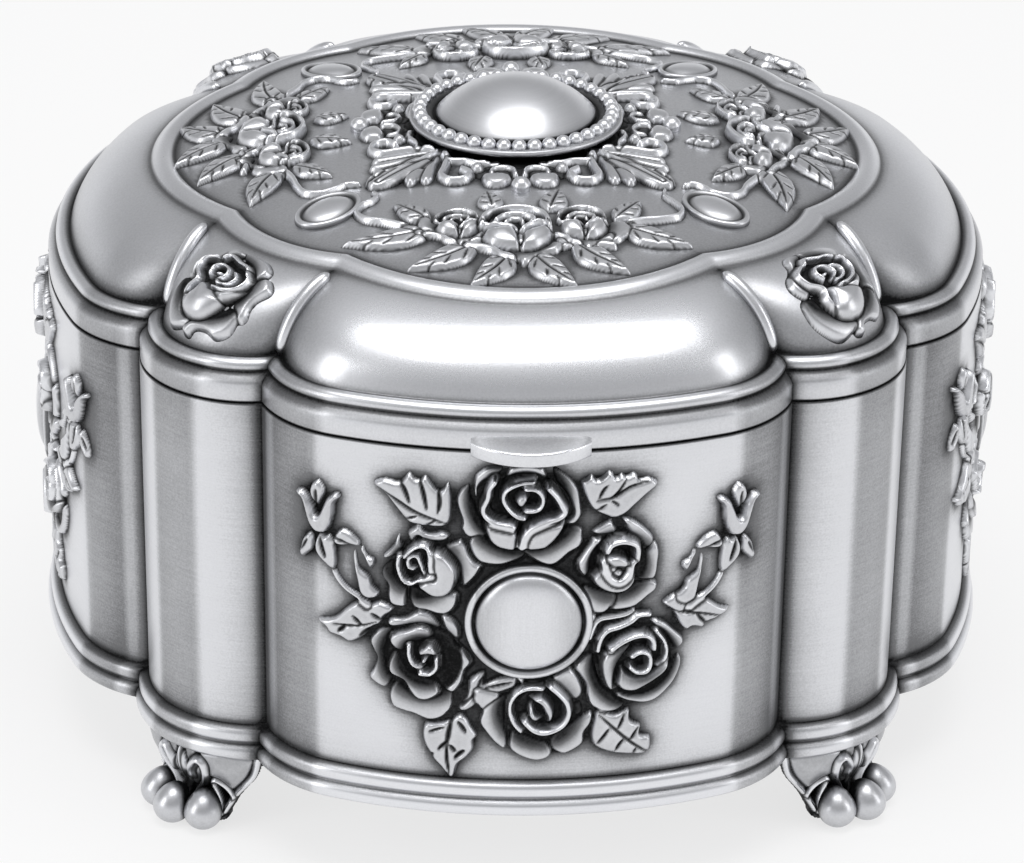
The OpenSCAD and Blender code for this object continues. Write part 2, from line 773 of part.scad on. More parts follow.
module oval_stud_at(quarter_turn) {
    color(bright_pewter)
        rotate([0, 0, 90 * quarter_turn])
            oval_stud();
}

module oval_stud_front_right() { oval_stud_at(0); }
module oval_stud_back_right() { oval_stud_at(1); }
module oval_stud_back_left() { oval_stud_at(2); }
module oval_stud_front_left() { oval_stud_at(3); }

// ---------------------------------------------------------------- boss

// Square of acanthus: a leaf to each corner, and a pair of scrolls with a bead on each side
module acanthus_mount() {
    color(bright_pewter)
        difference() {
            for (k = [0:3])
                rotate([0, 0, 90 * k]) {
                    on_lid(8, -8) {
                        leaf(16, 10, leaf_h * 1.3, -45);
                    }
                    for (side = [-1, 1])
                        on_lid(side * 4.6, -14.8)
                            stem([[side * 4.4, 3, 0.3, 1], [side * 2.6, -2.6, 0.4, 1], [side * -4.6, -3.3, 0.4, 1]]);
                    on_lid(0, -19.6) translate([0, 0, 0.3]) sphere(r = 1.25, $fn = 14);
                }
            field_block(clear);
            translate([0, 0, z_part]) cylinder(h = 60, r = pad_r + 0.6, $fn = 32);
            translate([0, 0, z_part + field_rise + pad_h - clear]) cylinder(h = 9, r = boss_plate_r + 0.2, $fn = 40);
        }
}

// Thin turned plate with a ring of beads, standing clear of the acanthus
module boss_plate() {
    plate_z = z_part + field_rise + pad_h;
    plate_t = 0.8;
    bead_r = 0.98;
    color(pewter)
        difference() {
            union() {
                translate([0, 0, plate_z]) cylinder(h = plate_t, r = boss_plate_r, $fn = 40);
                for (i = [0:bead_count - 1])
                    rotate([0, 0, 360 * i / bead_count])
                        translate([boss_plate_r - 1.35, 0, plate_z + plate_t + 0.2])
                            sphere(r = bead_r, $fn = 14);
            }
            translate([0, 0, plate_z - 1]) cylinder(h = 4, r = shank_clear_r, $fn = 20);
        }
}

// Smooth boss with its stud, drawn down by a nut inside the lid
module boss_dome() {
    dome_z = z_part + field_rise + pad_h + 0.8;
    cap_r = (boss_r * boss_r + boss_h * boss_h) / (2 * boss_h);
    stud_h = 6.2;
    color(bright_pewter)
        union() {
            intersection() {
                translate([0, 0, dome_z + boss_h - cap_r]) sphere(r = cap_r, $fn = 40);
                translate([0, 0, dome_z]) cylinder(h = boss_h + 1, r = boss_r + 1, $fn = 40);
            }
            translate([0, 0, dome_z - stud_h]) cylinder(h = stud_h + 0.5, r = 1.5, $fn = 20);
        }
}

// Nut on the boss stud, hidden above the lid cushion
module boss_nut() {
    color(steel)
        translate([0, 0, z_part + field_rise - wall - 2.2])
            difference() {
                cylinder(h = 2.2, r = 3.2, $fn = 6);
                translate([0, 0, -1]) cylinder(h = 5, r = 1.5 + clear, $fn = 20);
            }
}

// ---------------------------------------------------------------- assembly

body_shell();
floor_plate();
body_lining();
floor_cushion();
foot_front_left();
foot_front_right();
foot_back_left();
foot_back_right();
foot_screws();
rose_spray_front();
rose_spray_right();
rose_spray_back();
rose_spray_left();
cabochon_front();
cabochon_right();
cabochon_back();
cabochon_left();
hinge_lug_left();
hinge_lug_right();
hinge_lug_rivets();
hinge_pin();
lid_shell();
lid_cushion();
corner_rose_front_left();
corner_rose_front_right();
corner_rose_back_left();
corner_rose_back_right();
garland_front();
garland_right();
garland_back();
garland_left();
oval_stud_front_left();
oval_stud_front_right();
oval_stud_back_left();
oval_stud_back_right();
acanthus_mount();
boss_plate();
boss_dome();
boss_nut();
hinge_lid_bracket();
hinge_lid_rivets();
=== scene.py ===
"""Looks of a footed rosary box in antiqued pewter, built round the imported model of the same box.

Lengths are in millimetres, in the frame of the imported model: the origin is on the table, midway between
the feet, +Z is up and the thumb tab faces -Y. Numbers become metres when a mesh is laid.
"""

import logging
import math
from dataclasses import dataclass, field, replace
from enum import Enum
from typing import Callable

import bmesh
import bpy
import numpy as np
from mathutils import Matrix, Vector


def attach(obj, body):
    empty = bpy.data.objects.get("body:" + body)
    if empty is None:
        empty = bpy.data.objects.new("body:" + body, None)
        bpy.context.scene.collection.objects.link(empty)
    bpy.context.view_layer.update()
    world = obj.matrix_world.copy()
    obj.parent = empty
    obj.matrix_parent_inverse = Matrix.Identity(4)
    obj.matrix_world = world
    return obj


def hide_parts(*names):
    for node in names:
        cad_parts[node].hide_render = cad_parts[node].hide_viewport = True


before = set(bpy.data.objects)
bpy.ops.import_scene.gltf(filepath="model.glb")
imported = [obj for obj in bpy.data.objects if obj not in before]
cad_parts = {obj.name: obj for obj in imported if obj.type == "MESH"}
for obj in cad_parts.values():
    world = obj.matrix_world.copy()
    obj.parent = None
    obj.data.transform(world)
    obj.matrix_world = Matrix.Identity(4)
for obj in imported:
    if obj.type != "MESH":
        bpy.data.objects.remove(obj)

Array = np.ndarray
Place = Callable[[Array, Array, Array], Array]
Point2 = tuple[float, float]
Point3 = tuple[float, float, float]
Object = bpy.types.Object
Mesh = bpy.types.Mesh
Socket = bpy.types.NodeSocket

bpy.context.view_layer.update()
log = logging.getLogger("rosary_box")

MM = 0.001
SEAM = 1e-6  # points nearer than this, in metres, are sewn together
FOOT_H = 11.0  # height of the feet, where the wall starts
Z_PART = 59.5  # height of the line where the lid parts from the wall
SIDES = ("front", "right", "back", "left")
CORNERS = ("front_right", "back_right", "back_left", "front_left")


class Body(Enum):
    """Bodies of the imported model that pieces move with."""

    BOX = "box"
    LID = "lid"


class Slot(Enum):
    """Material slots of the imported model."""

    PEWTER = "pewter"
    RELIEF = "relief_pewter"
    DARK = "dark_pewter"
    STEEL = "steel_fixing"
    VELVET = "velvet"


# ---------------------------------------------------------------- numbers


def eased(t: Array) -> Array:
    """Rises smoothly from 0 to 1 as t does."""
    t = np.clip(t, 0.0, 1.0)
    return t * t * (3.0 - 2.0 * t)


def softened(values: Array, reach: float) -> Array:
    """Blurs a lattice of values.

    Args:
        values: Rows and columns of numbers.
        reach: Width of the blur, in lattice steps.

    Returns:
        The blurred lattice, of the same shape.
    """
    pad = int(3 * reach) + 1
    wide = np.pad(values, pad, mode="edge")
    down = np.fft.fftfreq(wide.shape[0])[:, None]
    along = np.fft.rfftfreq(wide.shape[1])[None, :]
    kernel = np.exp(-2.0 * (math.pi * reach) ** 2 * (down * down + along * along))
    out = np.fft.irfft2(np.fft.rfft2(wide) * kernel, s=wide.shape)
    return out[pad:-pad, pad:-pad]


def turned(points: Array, quarters: int) -> Array:
    """Turns points about the vertical axis by a number of quarter turns."""
    x, y, z = points[..., 0], points[..., 1], points[..., 2]
    for _ in range(quarters % 4):
        x, y = -y, x
    return np.stack([x, y, z], axis=-1)


def curve_through(points: list[tuple[float, ...]], steps: int) -> Array:
    """Smooth line through a few points.

    Args:
        points: The points, in order, in any number of dimensions.
        steps: Stations between each pair of points.

    Returns:
        One row for each station of the line.
    """
    p = np.array(points, float)
    p = np.vstack([2 * p[0] - p[1], p, 2 * p[-1] - p[-2]])
    out = []
    for k in range(1, len(p) - 2):
        for t in np.arange(steps) / steps:
            a, b, c, d = p[k - 1], p[k], p[k + 1], p[k + 2]
            cubed = (3 * b - a - 3 * c + d) * t**3
            out.append(0.5 * (2 * b + (c - a) * t + (2 * a - 5 * b + 4 * c - d) * t * t + cubed))
    out.append(p[-2])
    return np.array(out)


def level(ring: Array, z: float) -> Array:
    """Points of a flat ring, all at one height."""
    return np.column_stack([ring, np.full(len(ring), z)])


# ---------------------------------------------------------------- meshes


def patina_and_painted_light_layer(mesh: Mesh, values: Array) -> None:
    """Writes how dark the finish is at each point of a mesh, from 0 polished to 1 black: its patina, and on
    some pieces painted shade and highlights.
    """
    layer = mesh.attributes.get("patina_and_painted_light") or mesh.attributes.new("patina_and_painted_light", "FLOAT", "POINT")
    layer.data.foreach_set("value", np.clip(values, 0.0, 1.0).astype(np.float32))


def object_of(name: str, mesh: Mesh) -> Object:
    """Links a mesh to the scene as a smooth-shaded piece."""
    mesh.polygons.foreach_set("use_smooth", np.ones(len(mesh.polygons), bool))
    piece = bpy.data.objects.new(name, mesh)
    bpy.context.scene.collection.objects.link(piece)
    return piece


def piece_of(name: str, bm: bmesh.types.BMesh) -> Object:
    """Makes a piece of a bmesh, and frees the bmesh."""
    mesh = bpy.data.meshes.new(name)
    bm.to_mesh(mesh)
    bm.free()
    return object_of(name, mesh)


def lattice(bm: bmesh.types.BMesh, rows: int, cols: int) -> Mesh:
    """Flat grid of rows by cols points as a mesh, with x and y as the column and the row."""
    bmesh.ops.create_grid(bm, x_segments=cols - 1, y_segments=rows - 1, size=0.5)
    bmesh.ops.translate(bm, verts=bm.verts, vec=(0.5, 0.5, 0.0))
    bmesh.ops.scale(bm, verts=bm.verts, vec=(cols - 1, rows - 1, 1.0))
    mesh = bpy.data.meshes.new("lattice")
    bm.to_mesh(mesh)
    return mesh


def coordinates(mesh: Mesh) -> Array:
    """Points of a mesh, one row each."""
    co = np.empty(len(mesh.vertices) * 3, np.float32)
    mesh.vertices.foreach_get("co", co)
    return co.reshape(-1, 3)


def draped(name: str, points: Array, patina_and_painted_light: Array | float = 0.25) -> Object:
    """Lays a grid over an array of points, and sews up its seams and poles.

    Args:
        name: Name of the piece.
        points: Rows by columns by x, y, z, in millimetres.
        patina_and_painted_light: How dark the finish is, for all points or for each.

    Returns:
        The finished piece, with its faces pointing outwards.
    """
    rows, cols = points.shape[:2]
    bm = bmesh.new()
    mesh = lattice(bm, rows, cols)
    index = np.rint(coordinates(mesh)).astype(int)
    i, j = index[:, 0], index[:, 1]
    mesh.vertices.foreach_set("co", (points[j, i] * MM).astype(np.float32).ravel())
    patina_and_painted_light_layer(mesh, np.broadcast_to(patina_and_painted_light, (rows, cols))[j, i])
    bm.clear()
    bm.from_mesh(mesh)
    bmesh.ops.remove_doubles(bm, verts=bm.verts, dist=SEAM)
    bmesh.ops.recalc_face_normals(bm, faces=bm.faces)
    bm.to_mesh(mesh)
    bm.free()
    mesh.name = name
    return object_of(name, mesh)


def lathe(name: str, profile: list[Point2], steps: int, patina_and_painted_light: list[float]) -> Object:
    """Turns a profile about the vertical axis.

    Args:
        name: Name of the piece.
        profile: Radius and height of each point, in millimetres.
        steps: Steps round the axis.
        patina_and_painted_light: How dark the finish is at each point of the profile.

    Returns:
        The turned piece.
    """
    bm = bmesh.new()
    layer = bm.verts.layers.float.new("patina_and_painted_light")
    line = []
    for (r, z), dark in zip(profile, patina_and_painted_light):
        point = bm.verts.new((r * MM, 0.0, z * MM))
        point[layer] = dark
        line.append(point)
    geom = line + [bm.edges.new(pair) for pair in zip(line, line[1:])]
    turn = {"angle": math.tau, "steps": steps, "use_merge": True}
    bmesh.ops.spin(bm, geom=geom, cent=(0, 0, 0), axis=(0, 0, 1), **turn)
    bmesh.ops.remove_doubles(bm, verts=bm.verts, dist=SEAM)
    bmesh.ops.recalc_face_normals(bm, faces=bm.faces)
    return piece_of(name, bm)


def joined(name: str, pieces: list[Object]) -> Object:
    """Makes one piece of several, and removes them."""
    bm = bmesh.new()
    for piece in pieces:
        bm.from_mesh(piece.data)
    whole = piece_of(name, bm)
    for piece in pieces:
        old = piece.data
        bpy.data.objects.remove(piece)
        bpy.data.meshes.remove(old)
    return whole


def moved(piece: Object, where: Matrix) -> Object:
    """Moves a piece's mesh, and leaves its object at the origin."""
    piece.data.transform(where)
    return piece


def quarter_copy(piece: Object, name: str, quarters: int) -> Object:
    """Copy of a piece, turned about the vertical axis by a number of quarter turns."""
    mesh = piece.data.copy()
    mesh.name = name
    mesh.transform(Matrix.Rotation(math.radians(90 * quarters), 4, "Z"))
    return object_of(name, mesh)


def balls(name: str, centres: list[Point3], r: float, patina_and_painted_light: float) -> Object:
    """One piece made of equal balls."""
    bm = bmesh.new()
    layer = bm.verts.layers.float.new("patina_and_painted_light")
    for centre in centres:
        place = Matrix.Translation(Vector(centre) * MM)
        bmesh.ops.create_uvsphere(bm, u_segments=16, v_segments=10, radius=r * MM, matrix=place)
    for point in bm.verts:
        point[layer] = patina_and_painted_light
    return piece_of(name, bm)


def tube_points(path: Array, radii: Array, sides: int) -> Array:
    """Rings of points round a line, drawn to a point at both ends.

    Args:
        path: Stations of the line.
        radii: Radius at each station.
        sides: Points round each ring.

    Returns:
        Rows by columns by x, y, z, with the last column equal to the first.
    """
    way = np.gradient(path, axis=0)
    way /= np.linalg.norm(way, axis=1)[:, None]
    across = np.cross(way, [0.0, 0.0, 1.0])
    across /= np.linalg.norm(across, axis=1)[:, None] + 1e-9
    up = np.cross(across, way)
    a = np.linspace(0, math.tau, sides + 1)
    a[-1] = 0.0
    reach = radii[:, None, None]
    aside = reach * across[:, None, :] * np.cos(a)[None, :, None]
    rings = path[:, None, :] + aside + reach * up[:, None, :] * np.sin(a)[None, :, None]
    ends = [np.repeat(path[k][None, None, :], sides + 1, axis=1) for k in (0, -1)]
    return np.concatenate([ends[0], rings, ends[1]], axis=0)


# ---------------------------------------------------------------- outlines of the box and the lid


def crossing(c0: Array, r0: float, c1: Array, r1: float) -> Array:
    """Point where two circles cross, on the side away from the middle of the box."""
    v = c1 - c0
    gap = float(np.hypot(*v))
    along = (r0 * r0 - r1 * r1 + gap * gap) / (2 * gap)
    aside = math.sqrt(r0 * r0 - along * along)
    foot = c0 + v * along / gap
    step = np.array([-v[1], v[0]]) * aside / gap
    return max(foot + step, foot - step, key=lambda p: float(np.hypot(*p)))


def heading(c: Array, p: Array) -> float:
    """Direction from c to p."""
    return math.atan2(p[1] - c[1], p[0] - c[0])


def arc(c: Array, r: float, start: float, end: float, steps: int) -> Array:
    """Points along an arc, without its last one."""
    a = np.linspace(start, end, steps, endpoint=False)
    return np.stack([c[0] + r * np.cos(a), c[1] + r * np.sin(a)], axis=-1)


def all_round(quarter: Array) -> Array:
    """Closed ring made of four turned copies of a quarter."""
    flat = np.column_stack([quarter, np.zeros(len(quarter))])
    ring = np.vstack([turned(flat, k)[:, :2] for k in range(4)])
    return np.vstack([ring, ring[:1]])


@dataclass(frozen=True)
class Plan:
    """Outline of the box: four bowed panels and four round columns, all of them true arcs."""

    half_width: float = 60.0
    panel_r: float = 62.6
    end_r: float = 14.6
    half_angle: float = math.radians(21.65)
    column_c: float = 32.6
    column_r: float = 14.1
    end_steps: int = 14
    bow_steps: int = 84
    column_steps: int = 48

    @property
    def panel_c(self) -> Array:
        """Centre of the front panel's bow."""
        return np.array([0.0, self.panel_r - self.half_width])

    @property
    def end_c(self) -> Array:
        """Centre of the tighter round at the right end of the front panel."""
        reach = self.panel_r - self.end_r
        return self.panel_c + reach * np.array([math.sin(self.half_angle), -math.cos(self.half_angle)])

    @property
    def corner_c(self) -> Array:
        """Centre of the front right column."""
        return np.array([self.column_c, -self.column_c])

    @property
    def bow(self) -> float:
        """Half of the length of a panel's main bow."""
        return self.panel_r * self.half_angle

    def groove(self, d: float = 0.0) -> Array:
        """Point where the front panel meets the front right column, with the outline moved out by d."""
        return crossing(self.end_c, self.end_r + d, self.corner_c, self.column_r + d)

    def ring(self, d: float) -> Array:
        """Closed outline, moved outwards by d."""
        front, right, meet = math.radians(270), self.end_c, self.groove(d)
        end_a, column_a = heading(right, meet), heading(self.corner_c, meet)
        start, stop, end_r = front - self.half_angle, front + self.half_angle, self.end_r + d
        quarter = [
            arc(right * (-1, 1), end_r, math.pi - end_a, start, self.end_steps),
            arc(self.panel_c, self.panel_r + d, start, stop, self.bow_steps),
            arc(right, end_r, stop, math.tau + end_a, self.end_steps),
            arc(self.corner_c, self.column_r + d, math.tau + column_a, front - column_a, self.column_steps),
        ]
        return all_round(np.vstack(quarter))

    def ways(self) -> tuple[Array, Array, Array]:
        """Where each station of the outline lies.

        Returns:
            The way along its panel from the panel's middle, the distance to the nearest groove line, and
            whether the station is on a column.
        """
        ring = self.ring(0.0)
        n = (len(ring) - 1) // 4
        steps = np.hypot(*np.diff(ring[: n + 1], axis=0).T)
        run = np.concatenate([[0.0], np.cumsum(steps)])[:n]
        panel_n = 2 * self.end_steps + self.bow_steps
        panel_len, whole = run[panel_n], float(np.sum(steps))
        column = np.arange(n) >= panel_n
        near = np.where(column, np.minimum(run - panel_len, whole - run), np.minimum(run, panel_len - run))
        along = np.where(column, 99.0, run - panel_len / 2)
        closed = [np.append(np.tile(v, 4), v[0]) for v in (along, near, column)]
        return closed[0], closed[1], closed[2].astype(bool)

    def turn(self) -> Array:
        """How far each station of a ring faces away from the nearest of the four sides, in degrees."""
        ring = self.ring(0.0)[:-1]
        way = np.roll(ring, -1, axis=0) - np.roll(ring, 1, axis=0)
        turn = np.abs((np.degrees(np.arctan2(way[:, 0], -way[:, 1])) + 45.0) % 90.0 - 45.0)
        return np.append(turn, turn[0])

    def on_panel(self, s: Array, z: Array, h: Array) -> Array:
        """Points on the front panel.

        Args:
            s: Way round the bow from the panel's middle.
            z: Height above the base moulding's foot.
            h: Height above the panel's surface.

        Returns:
            Points with x, y, z in the last axis.
        """
        past = np.abs(s) > self.bow
        side = np.where(s < 0, -1.0, 1.0)
        a = np.where(past, side * (self.half_angle + (np.abs(s) - self.bow) / self.end_r), s / self.panel_r)
        r = np.where(past, self.end_r, self.panel_r) + h
        cx = np.where(past, side * self.end_c[0], self.panel_c[0])
        cy = np.where(past, self.end_c[1], self.panel_c[1])
        return np.stack([cx + r * np.sin(a), cy - r * np.cos(a), z + FOOT_H + 0 * h], axis=-1)


@dataclass(frozen=True)
class FieldRing:
    """Raised ring round the lid's field: a lobe facing each panel and a shallower one across each corner."""

    apex: float = 46.6
    corner_apex: float = 44.8
    cusp_x: float = 22.7
    cusp_y: float = -37.3
    width: float = 3.0
    end_share: float = 0.175
    rise: float = 17.1
    field_r: float = 250.0

    def ring(self, d: float, plan: Plan) -> Array:
        """Closed outline of the ring, moved outwards by d, with as many stations as the plan's."""
        sag = self.apex + self.cusp_y
        lobe_r = (self.cusp_x**2 + sag * sag) / (2 * sag)
        lobe_c = np.array([0.0, lobe_r - self.apex])
        half = (-self.cusp_y - self.cusp_x) / math.sqrt(2)
        corner_sag = self.corner_apex - (self.cusp_x - self.cusp_y) / math.sqrt(2)
        corner_r = (half * half + corner_sag**2) / (2 * corner_sag)
        corner_c = (self.corner_apex - corner_r) / math.sqrt(2) * np.array([1.0, -1.0])
        meet = crossing(lobe_c, lobe_r + d, corner_c, corner_r + d)
        lobe_a, corner_a = math.tau + heading(lobe_c, meet), heading(corner_c, meet)
        ends = np.linspace(0, self.end_share, plan.end_steps, endpoint=False)
        middle = np.linspace(self.end_share, 1 - self.end_share, plan.bow_steps, endpoint=False)
        share = np.concatenate([ends, middle, 1 - self.end_share + ends])
        a = (3 * math.pi - lobe_a) * (1 - share) + lobe_a * share
        r = lobe_r + d
        lobe = np.stack([lobe_c[0] + r * np.cos(a), lobe_c[1] + r * np.sin(a)], axis=-1)
        end = math.radians(270) - corner_a
        across = arc(corner_c, corner_r + d, math.tau + corner_a, end, plan.column_steps)
        return all_round(np.vstack([lobe, across]))

    def field(self, x: Array, y: Array) -> Array:
        """Height of the field at a point."""
        return Z_PART + self.rise - (x * x + y * y) / (2 * self.field_r)

    def on_field(self, x: Array, y: Array, h: Array) -> Array:
        """Points above the field, with x, y, z in the last axis."""
        return np.stack([x, y, self.field(x, y) + h], axis=-1)


PLAN = Plan()
RING = FieldRing()


# ---------------------------------------------------------------- finishes

Feed = float | tuple[float, ...] | Socket
PEWTER_TINT = (0.985, 0.995, 1.03)
ROOM_TINT = (1.0, 1.005, 1.02)


@dataclass(frozen=True)
class Graph:
    """Node tree that is built by naming what goes into each node's sockets."""

    tree: bpy.types.NodeTree

    def feed(self, node: bpy.types.Node, sockets: dict[str | int, Feed]) -> bpy.types.Node:
        """Sets sockets to numbers and colours, or joins them to the outputs of other nodes."""
        for name, value in sockets.items():
            if isinstance(value, Socket):
                self.tree.links.new(value, node.inputs[name])
            else:
                node.inputs[name].default_value = value
        return node

    def add(self, kind: str, sockets: dict[str | int, Feed] | None = None) -> bpy.types.Node:
        """Adds a node of a kind, and feeds its sockets."""
        return self.feed(self.tree.nodes.new("ShaderNode" + kind), sockets or {})

    def noise(self, where: Socket, scale: float, detail: float = 2.0) -> Socket:
        """Noise about 0.5 at each place."""
        return self.add("TexNoise", {"Vector": where, "Scale": scale, "Detail": detail}).outputs["Fac"]

    def worked(self, operation: str, *terms: Feed) -> Socket:
        """Result of a sum on up to three terms."""
        node = self.add("Math")
        node.operation = operation
        return self.feed(node, dict(enumerate(terms))).outputs[0]

    def bump(self, height: Socket, strength: float, distance: float) -> Socket:
        """Normal of a surface that is roughened by a height."""
        sockets = {"Strength": strength, "Distance": distance, "Height": height}
        return self.add("Bump", sockets).outputs["Normal"]

    def greys(
        self, value: Socket, stops: tuple[Point2, ...], tint: Point3
    ) -> Socket:
        """Turns a value into a grey.

        Args:
            value: Socket that carries the value.
            stops: Position and grey of each stop.
            tint: Share of the grey that red, green and blue take.

        Returns:
            The socket that carries the colour.
        """
        node = self.add("ValToRGB", {"Fac": value})
        elements = node.color_ramp.elements
        while len(elements) < len(stops):
            elements.new(0.5)
        for element, (at, grey) in zip(elements, stops):
            element.position = at
            element.color = (*(grey * share for share in tint), 1.0)
        return node.outputs["Color"]

    def background_rays(self) -> Socket:
        """Is 1 for what the camera sees, also through a reflection or glass."""
        path = self.add("LightPath")
        total = path.outputs["Is Camera Ray"]
        for name in ("Is Glossy Ray", "Is Transmission Ray"):
            total = self.worked("MAXIMUM", total, path.outputs[name])
        return total


def new_finish(name: str) -> tuple[bpy.types.Material, Graph, bpy.types.Node]:
    """Empty material, its graph and its shader."""
    made = bpy.data.materials.new(name)
    made.use_nodes = True
    return made, Graph(made.node_tree), made.node_tree.nodes["Principled BSDF"]


@dataclass(frozen=True)
class PewterFinish:
    """Brushed pewter, blackened in its hollows and rubbed bright on its crests."""

    name: str
    slot: Slot
    bright: float = 0.86
    plain: float = 0.62
    shade: float = 0.2
    black: float = 0.012
    roughness: float = 0.33
    grain: Point3 = (160.0, 160.0, 5200.0)
    stipple: float = 0.16
    brush: float = 0.09
    cloud: float = 0.07
    unpainted: float = 0.3
    painted: bool = True

    def material(self) -> bpy.types.Material:
        """Builds the finish as a node tree on Object coordinates and the attribute that holds the patina
        and, on some pieces, painted shade and highlights.
        """
        made, graph, shader = new_finish(self.name)
        where = graph.add("TexCoord").outputs["Object"]
        brushed = graph.add("Mapping", {"Vector": where, "Scale": self.grain}).outputs["Vector"]
        speck, cloud = graph.noise(where, 4200.0), graph.noise(where, 90.0)
        lines = graph.noise(brushed, 1.0, 3.0)
        dark = self._darkness(graph, ((speck, self.stipple), (lines, self.brush), (cloud, self.cloud)))
        stops = ((0.0, self.bright), (0.25, self.plain), (0.6, self.shade), (1.0, self.black))
        rough = {"Value": dark, "To Min": self.roughness - 0.07, "To Max": self.roughness + 0.27}
        sockets = {
            "Metallic": 1.0,
            "Base Color": graph.greys(dark, stops, PEWTER_TINT),
            "Roughness": graph.add("MapRange", rough).outputs["Result"],
            "Normal": graph.bump(lines, 0.22, 0.00002),
        }
        graph.feed(shader, sockets)
        return made

    def _darkness(
        self, graph: Graph, noises: tuple[tuple[Socket, float], ...]
    ) -> Socket:
        """Adds noises to the patina and the painted shade and highlights.

        Args:
            graph: Graph of the material.
            noises: Each noise and how far it moves the patina.

        Returns:
            The socket that carries the darkness, from 0 to 1.
        """
        total: Socket | None = None
        if self.painted:
            layer = graph.add("Attribute")
            layer.attribute_name = "patina_and_painted_light"
            total = layer.outputs["Fac"]
        for noise, amount in noises:
            if total is None:
                centre: Feed = self.unpainted - amount / 2
            else:
                centre = graph.worked("SUBTRACT", total, amount / 2)
            total = graph.worked("MULTIPLY_ADD", noise, amount, centre)
        return total


@dataclass(frozen=True)
class VelvetFinish:
    """Short-pile velvet."""

    name: str = "wine_velvet"
    slot: Slot = Slot.VELVET
    colour: Point3 = (0.105, 0.006, 0.014)
    crushed: float = 0.6
    raised: float = 1.5
    sheen: Point3 = (0.75, 0.2, 0.24)

    def shaded(self, share: float) -> tuple[float, ...]:
        """The colour, lighter or darker by a share."""
        return (*(c * share for c in self.colour), 1.0)

    def material(self) -> bpy.types.Material:
        """Builds the velvet with its sheen, its pile and slow marks where it has been stroked."""
        made, graph, shader = new_finish(self.name)
        where = graph.add("TexCoord").outputs["Object"]
        mix = graph.add("Mix")
        mix.data_type = "RGBA"
        marks = {"Factor": graph.noise(where, 70.0, 3.0), "A": self.shaded(self.crushed)}
        graph.feed(mix, {**marks, "B": self.shaded(self.raised)})
        sockets = {
            "Base Color": mix.outputs["Result"],
            "Roughness": 0.85,
            "Sheen Weight": 0.8,
            "Sheen Roughness": 0.4,
            "Sheen Tint": (*self.sheen, 1.0),
            "Specular IOR Level": 0.2,
            "Normal": graph.bump(graph.noise(where, 3200.0), 0.5, 0.00015),
        }
        graph.feed(shader, sockets)
        return made


class Look(Enum):
    """The finishes of the box."""

    WALL = PewterFinish("brushed_pewter", Slot.PEWTER, plain=0.72)
    LID = PewterFinish("satin_pewter", Slot.PEWTER, grain=(2600.0, 2600.0, 2600.0))
    RELIEF = PewterFinish("cast_pewter", Slot.RELIEF, grain=(1800.0, 1800.0, 1800.0), stipple=0.1)
    CROWN = PewterFinish("polished_pewter", Slot.RELIEF, grain=(90.0, 90.0, 5200.0), stipple=0.05)
    CAMEO = PewterFinish("upright_brushed_pewter", Slot.RELIEF, grain=(5200.0, 5200.0, 120.0))
    HIDDEN = PewterFinish("dark_pewter", Slot.DARK, painted=False, plain=0.42)
    FIXING = PewterFinish("zinc_steel", Slot.STEEL, painted=False, plain=0.55, roughness=0.28)
    VELVET = VelvetFinish()


@dataclass(frozen=True)
class Seat:
    """Where a piece belongs: its finish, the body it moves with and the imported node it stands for."""

    look: Look
    body: Body
    node: str | None = None


@dataclass
class Palette:
    """The materials of the finishes, each built once."""

    made: dict[Look, bpy.types.Material] = field(default_factory=dict)

    def material(self, look: Look) -> bpy.types.Material:
        """The material of a finish."""
        if look not in self.made:
            self.made[look] = look.value.material()
        return self.made[look]

    def dress(self, piece: Object, seat: Seat) -> None:
        """Gives a piece its finish, its body and the node that it replaces."""
        piece.data.materials.clear()
        piece.data.materials.append(self.material(seat.look))
        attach(piece, seat.body.value)
        if seat.node:
            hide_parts(seat.node)

    def dress_node(self, name: str, look: Look) -> None:
        """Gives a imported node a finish, in its own material slots."""
        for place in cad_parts[name].material_slots:
            place.material = self.material(look)


class SubAssembly:
    """Pieces that are built and dressed together."""

    def build(self) -> list[Object]:
        """Makes the pieces."""
        raise NotImplementedError

    def seats(self) -> list[Seat]:
        """Seat of each piece, in the order that the pieces are built in."""
        raise NotImplementedError

    def dress(self, pieces: list[Object], palette: Palette) -> None:
        """Gives each piece its finish and its place."""
        for piece, seat in zip(pieces, self.seats()):
            palette.dress(piece, seat)


class Quartet(SubAssembly):
    """One casting and three turned copies of it, on the four sides or at the four corners."""

    stem: str
    node: str
    places: tuple[str, ...] = SIDES
    body: Body = Body.BOX
    look: Look = Look.RELIEF

    def first(self, name: str) -> Object:
        """Makes the casting of the front side or the front right corner."""
        raise NotImplementedError

    def build(self) -> list[Object]:
        """Makes the first casting and the three copies."""
        names = [f"{self.stem}_{place}" for place in self.places]
        first = self.first(names[0])
        return [first] + [quarter_copy(first, names[k], k) for k in (1, 2, 3)]

    def seats(self) -> list[Seat]:
        """One finish and one body for all four."""
        return [Seat(self.look, self.body, f"{self.node}_{place}") for place in self.places]


# ---------------------------------------------------------------- cast relief

GROUND = -0.45  # height of bare ground
BARE = 0.01  # height over the ground up to which a cell counts as bare
GROUND_TONE = 0.82  # how dark bare ground is
GROOVE = 0.28  # width of the black groove round a piece
UNDERCUT = 0.35  # depth of the groove in what lies under the piece
CURVE_STEPS = 6  # stations between two points of a traced line


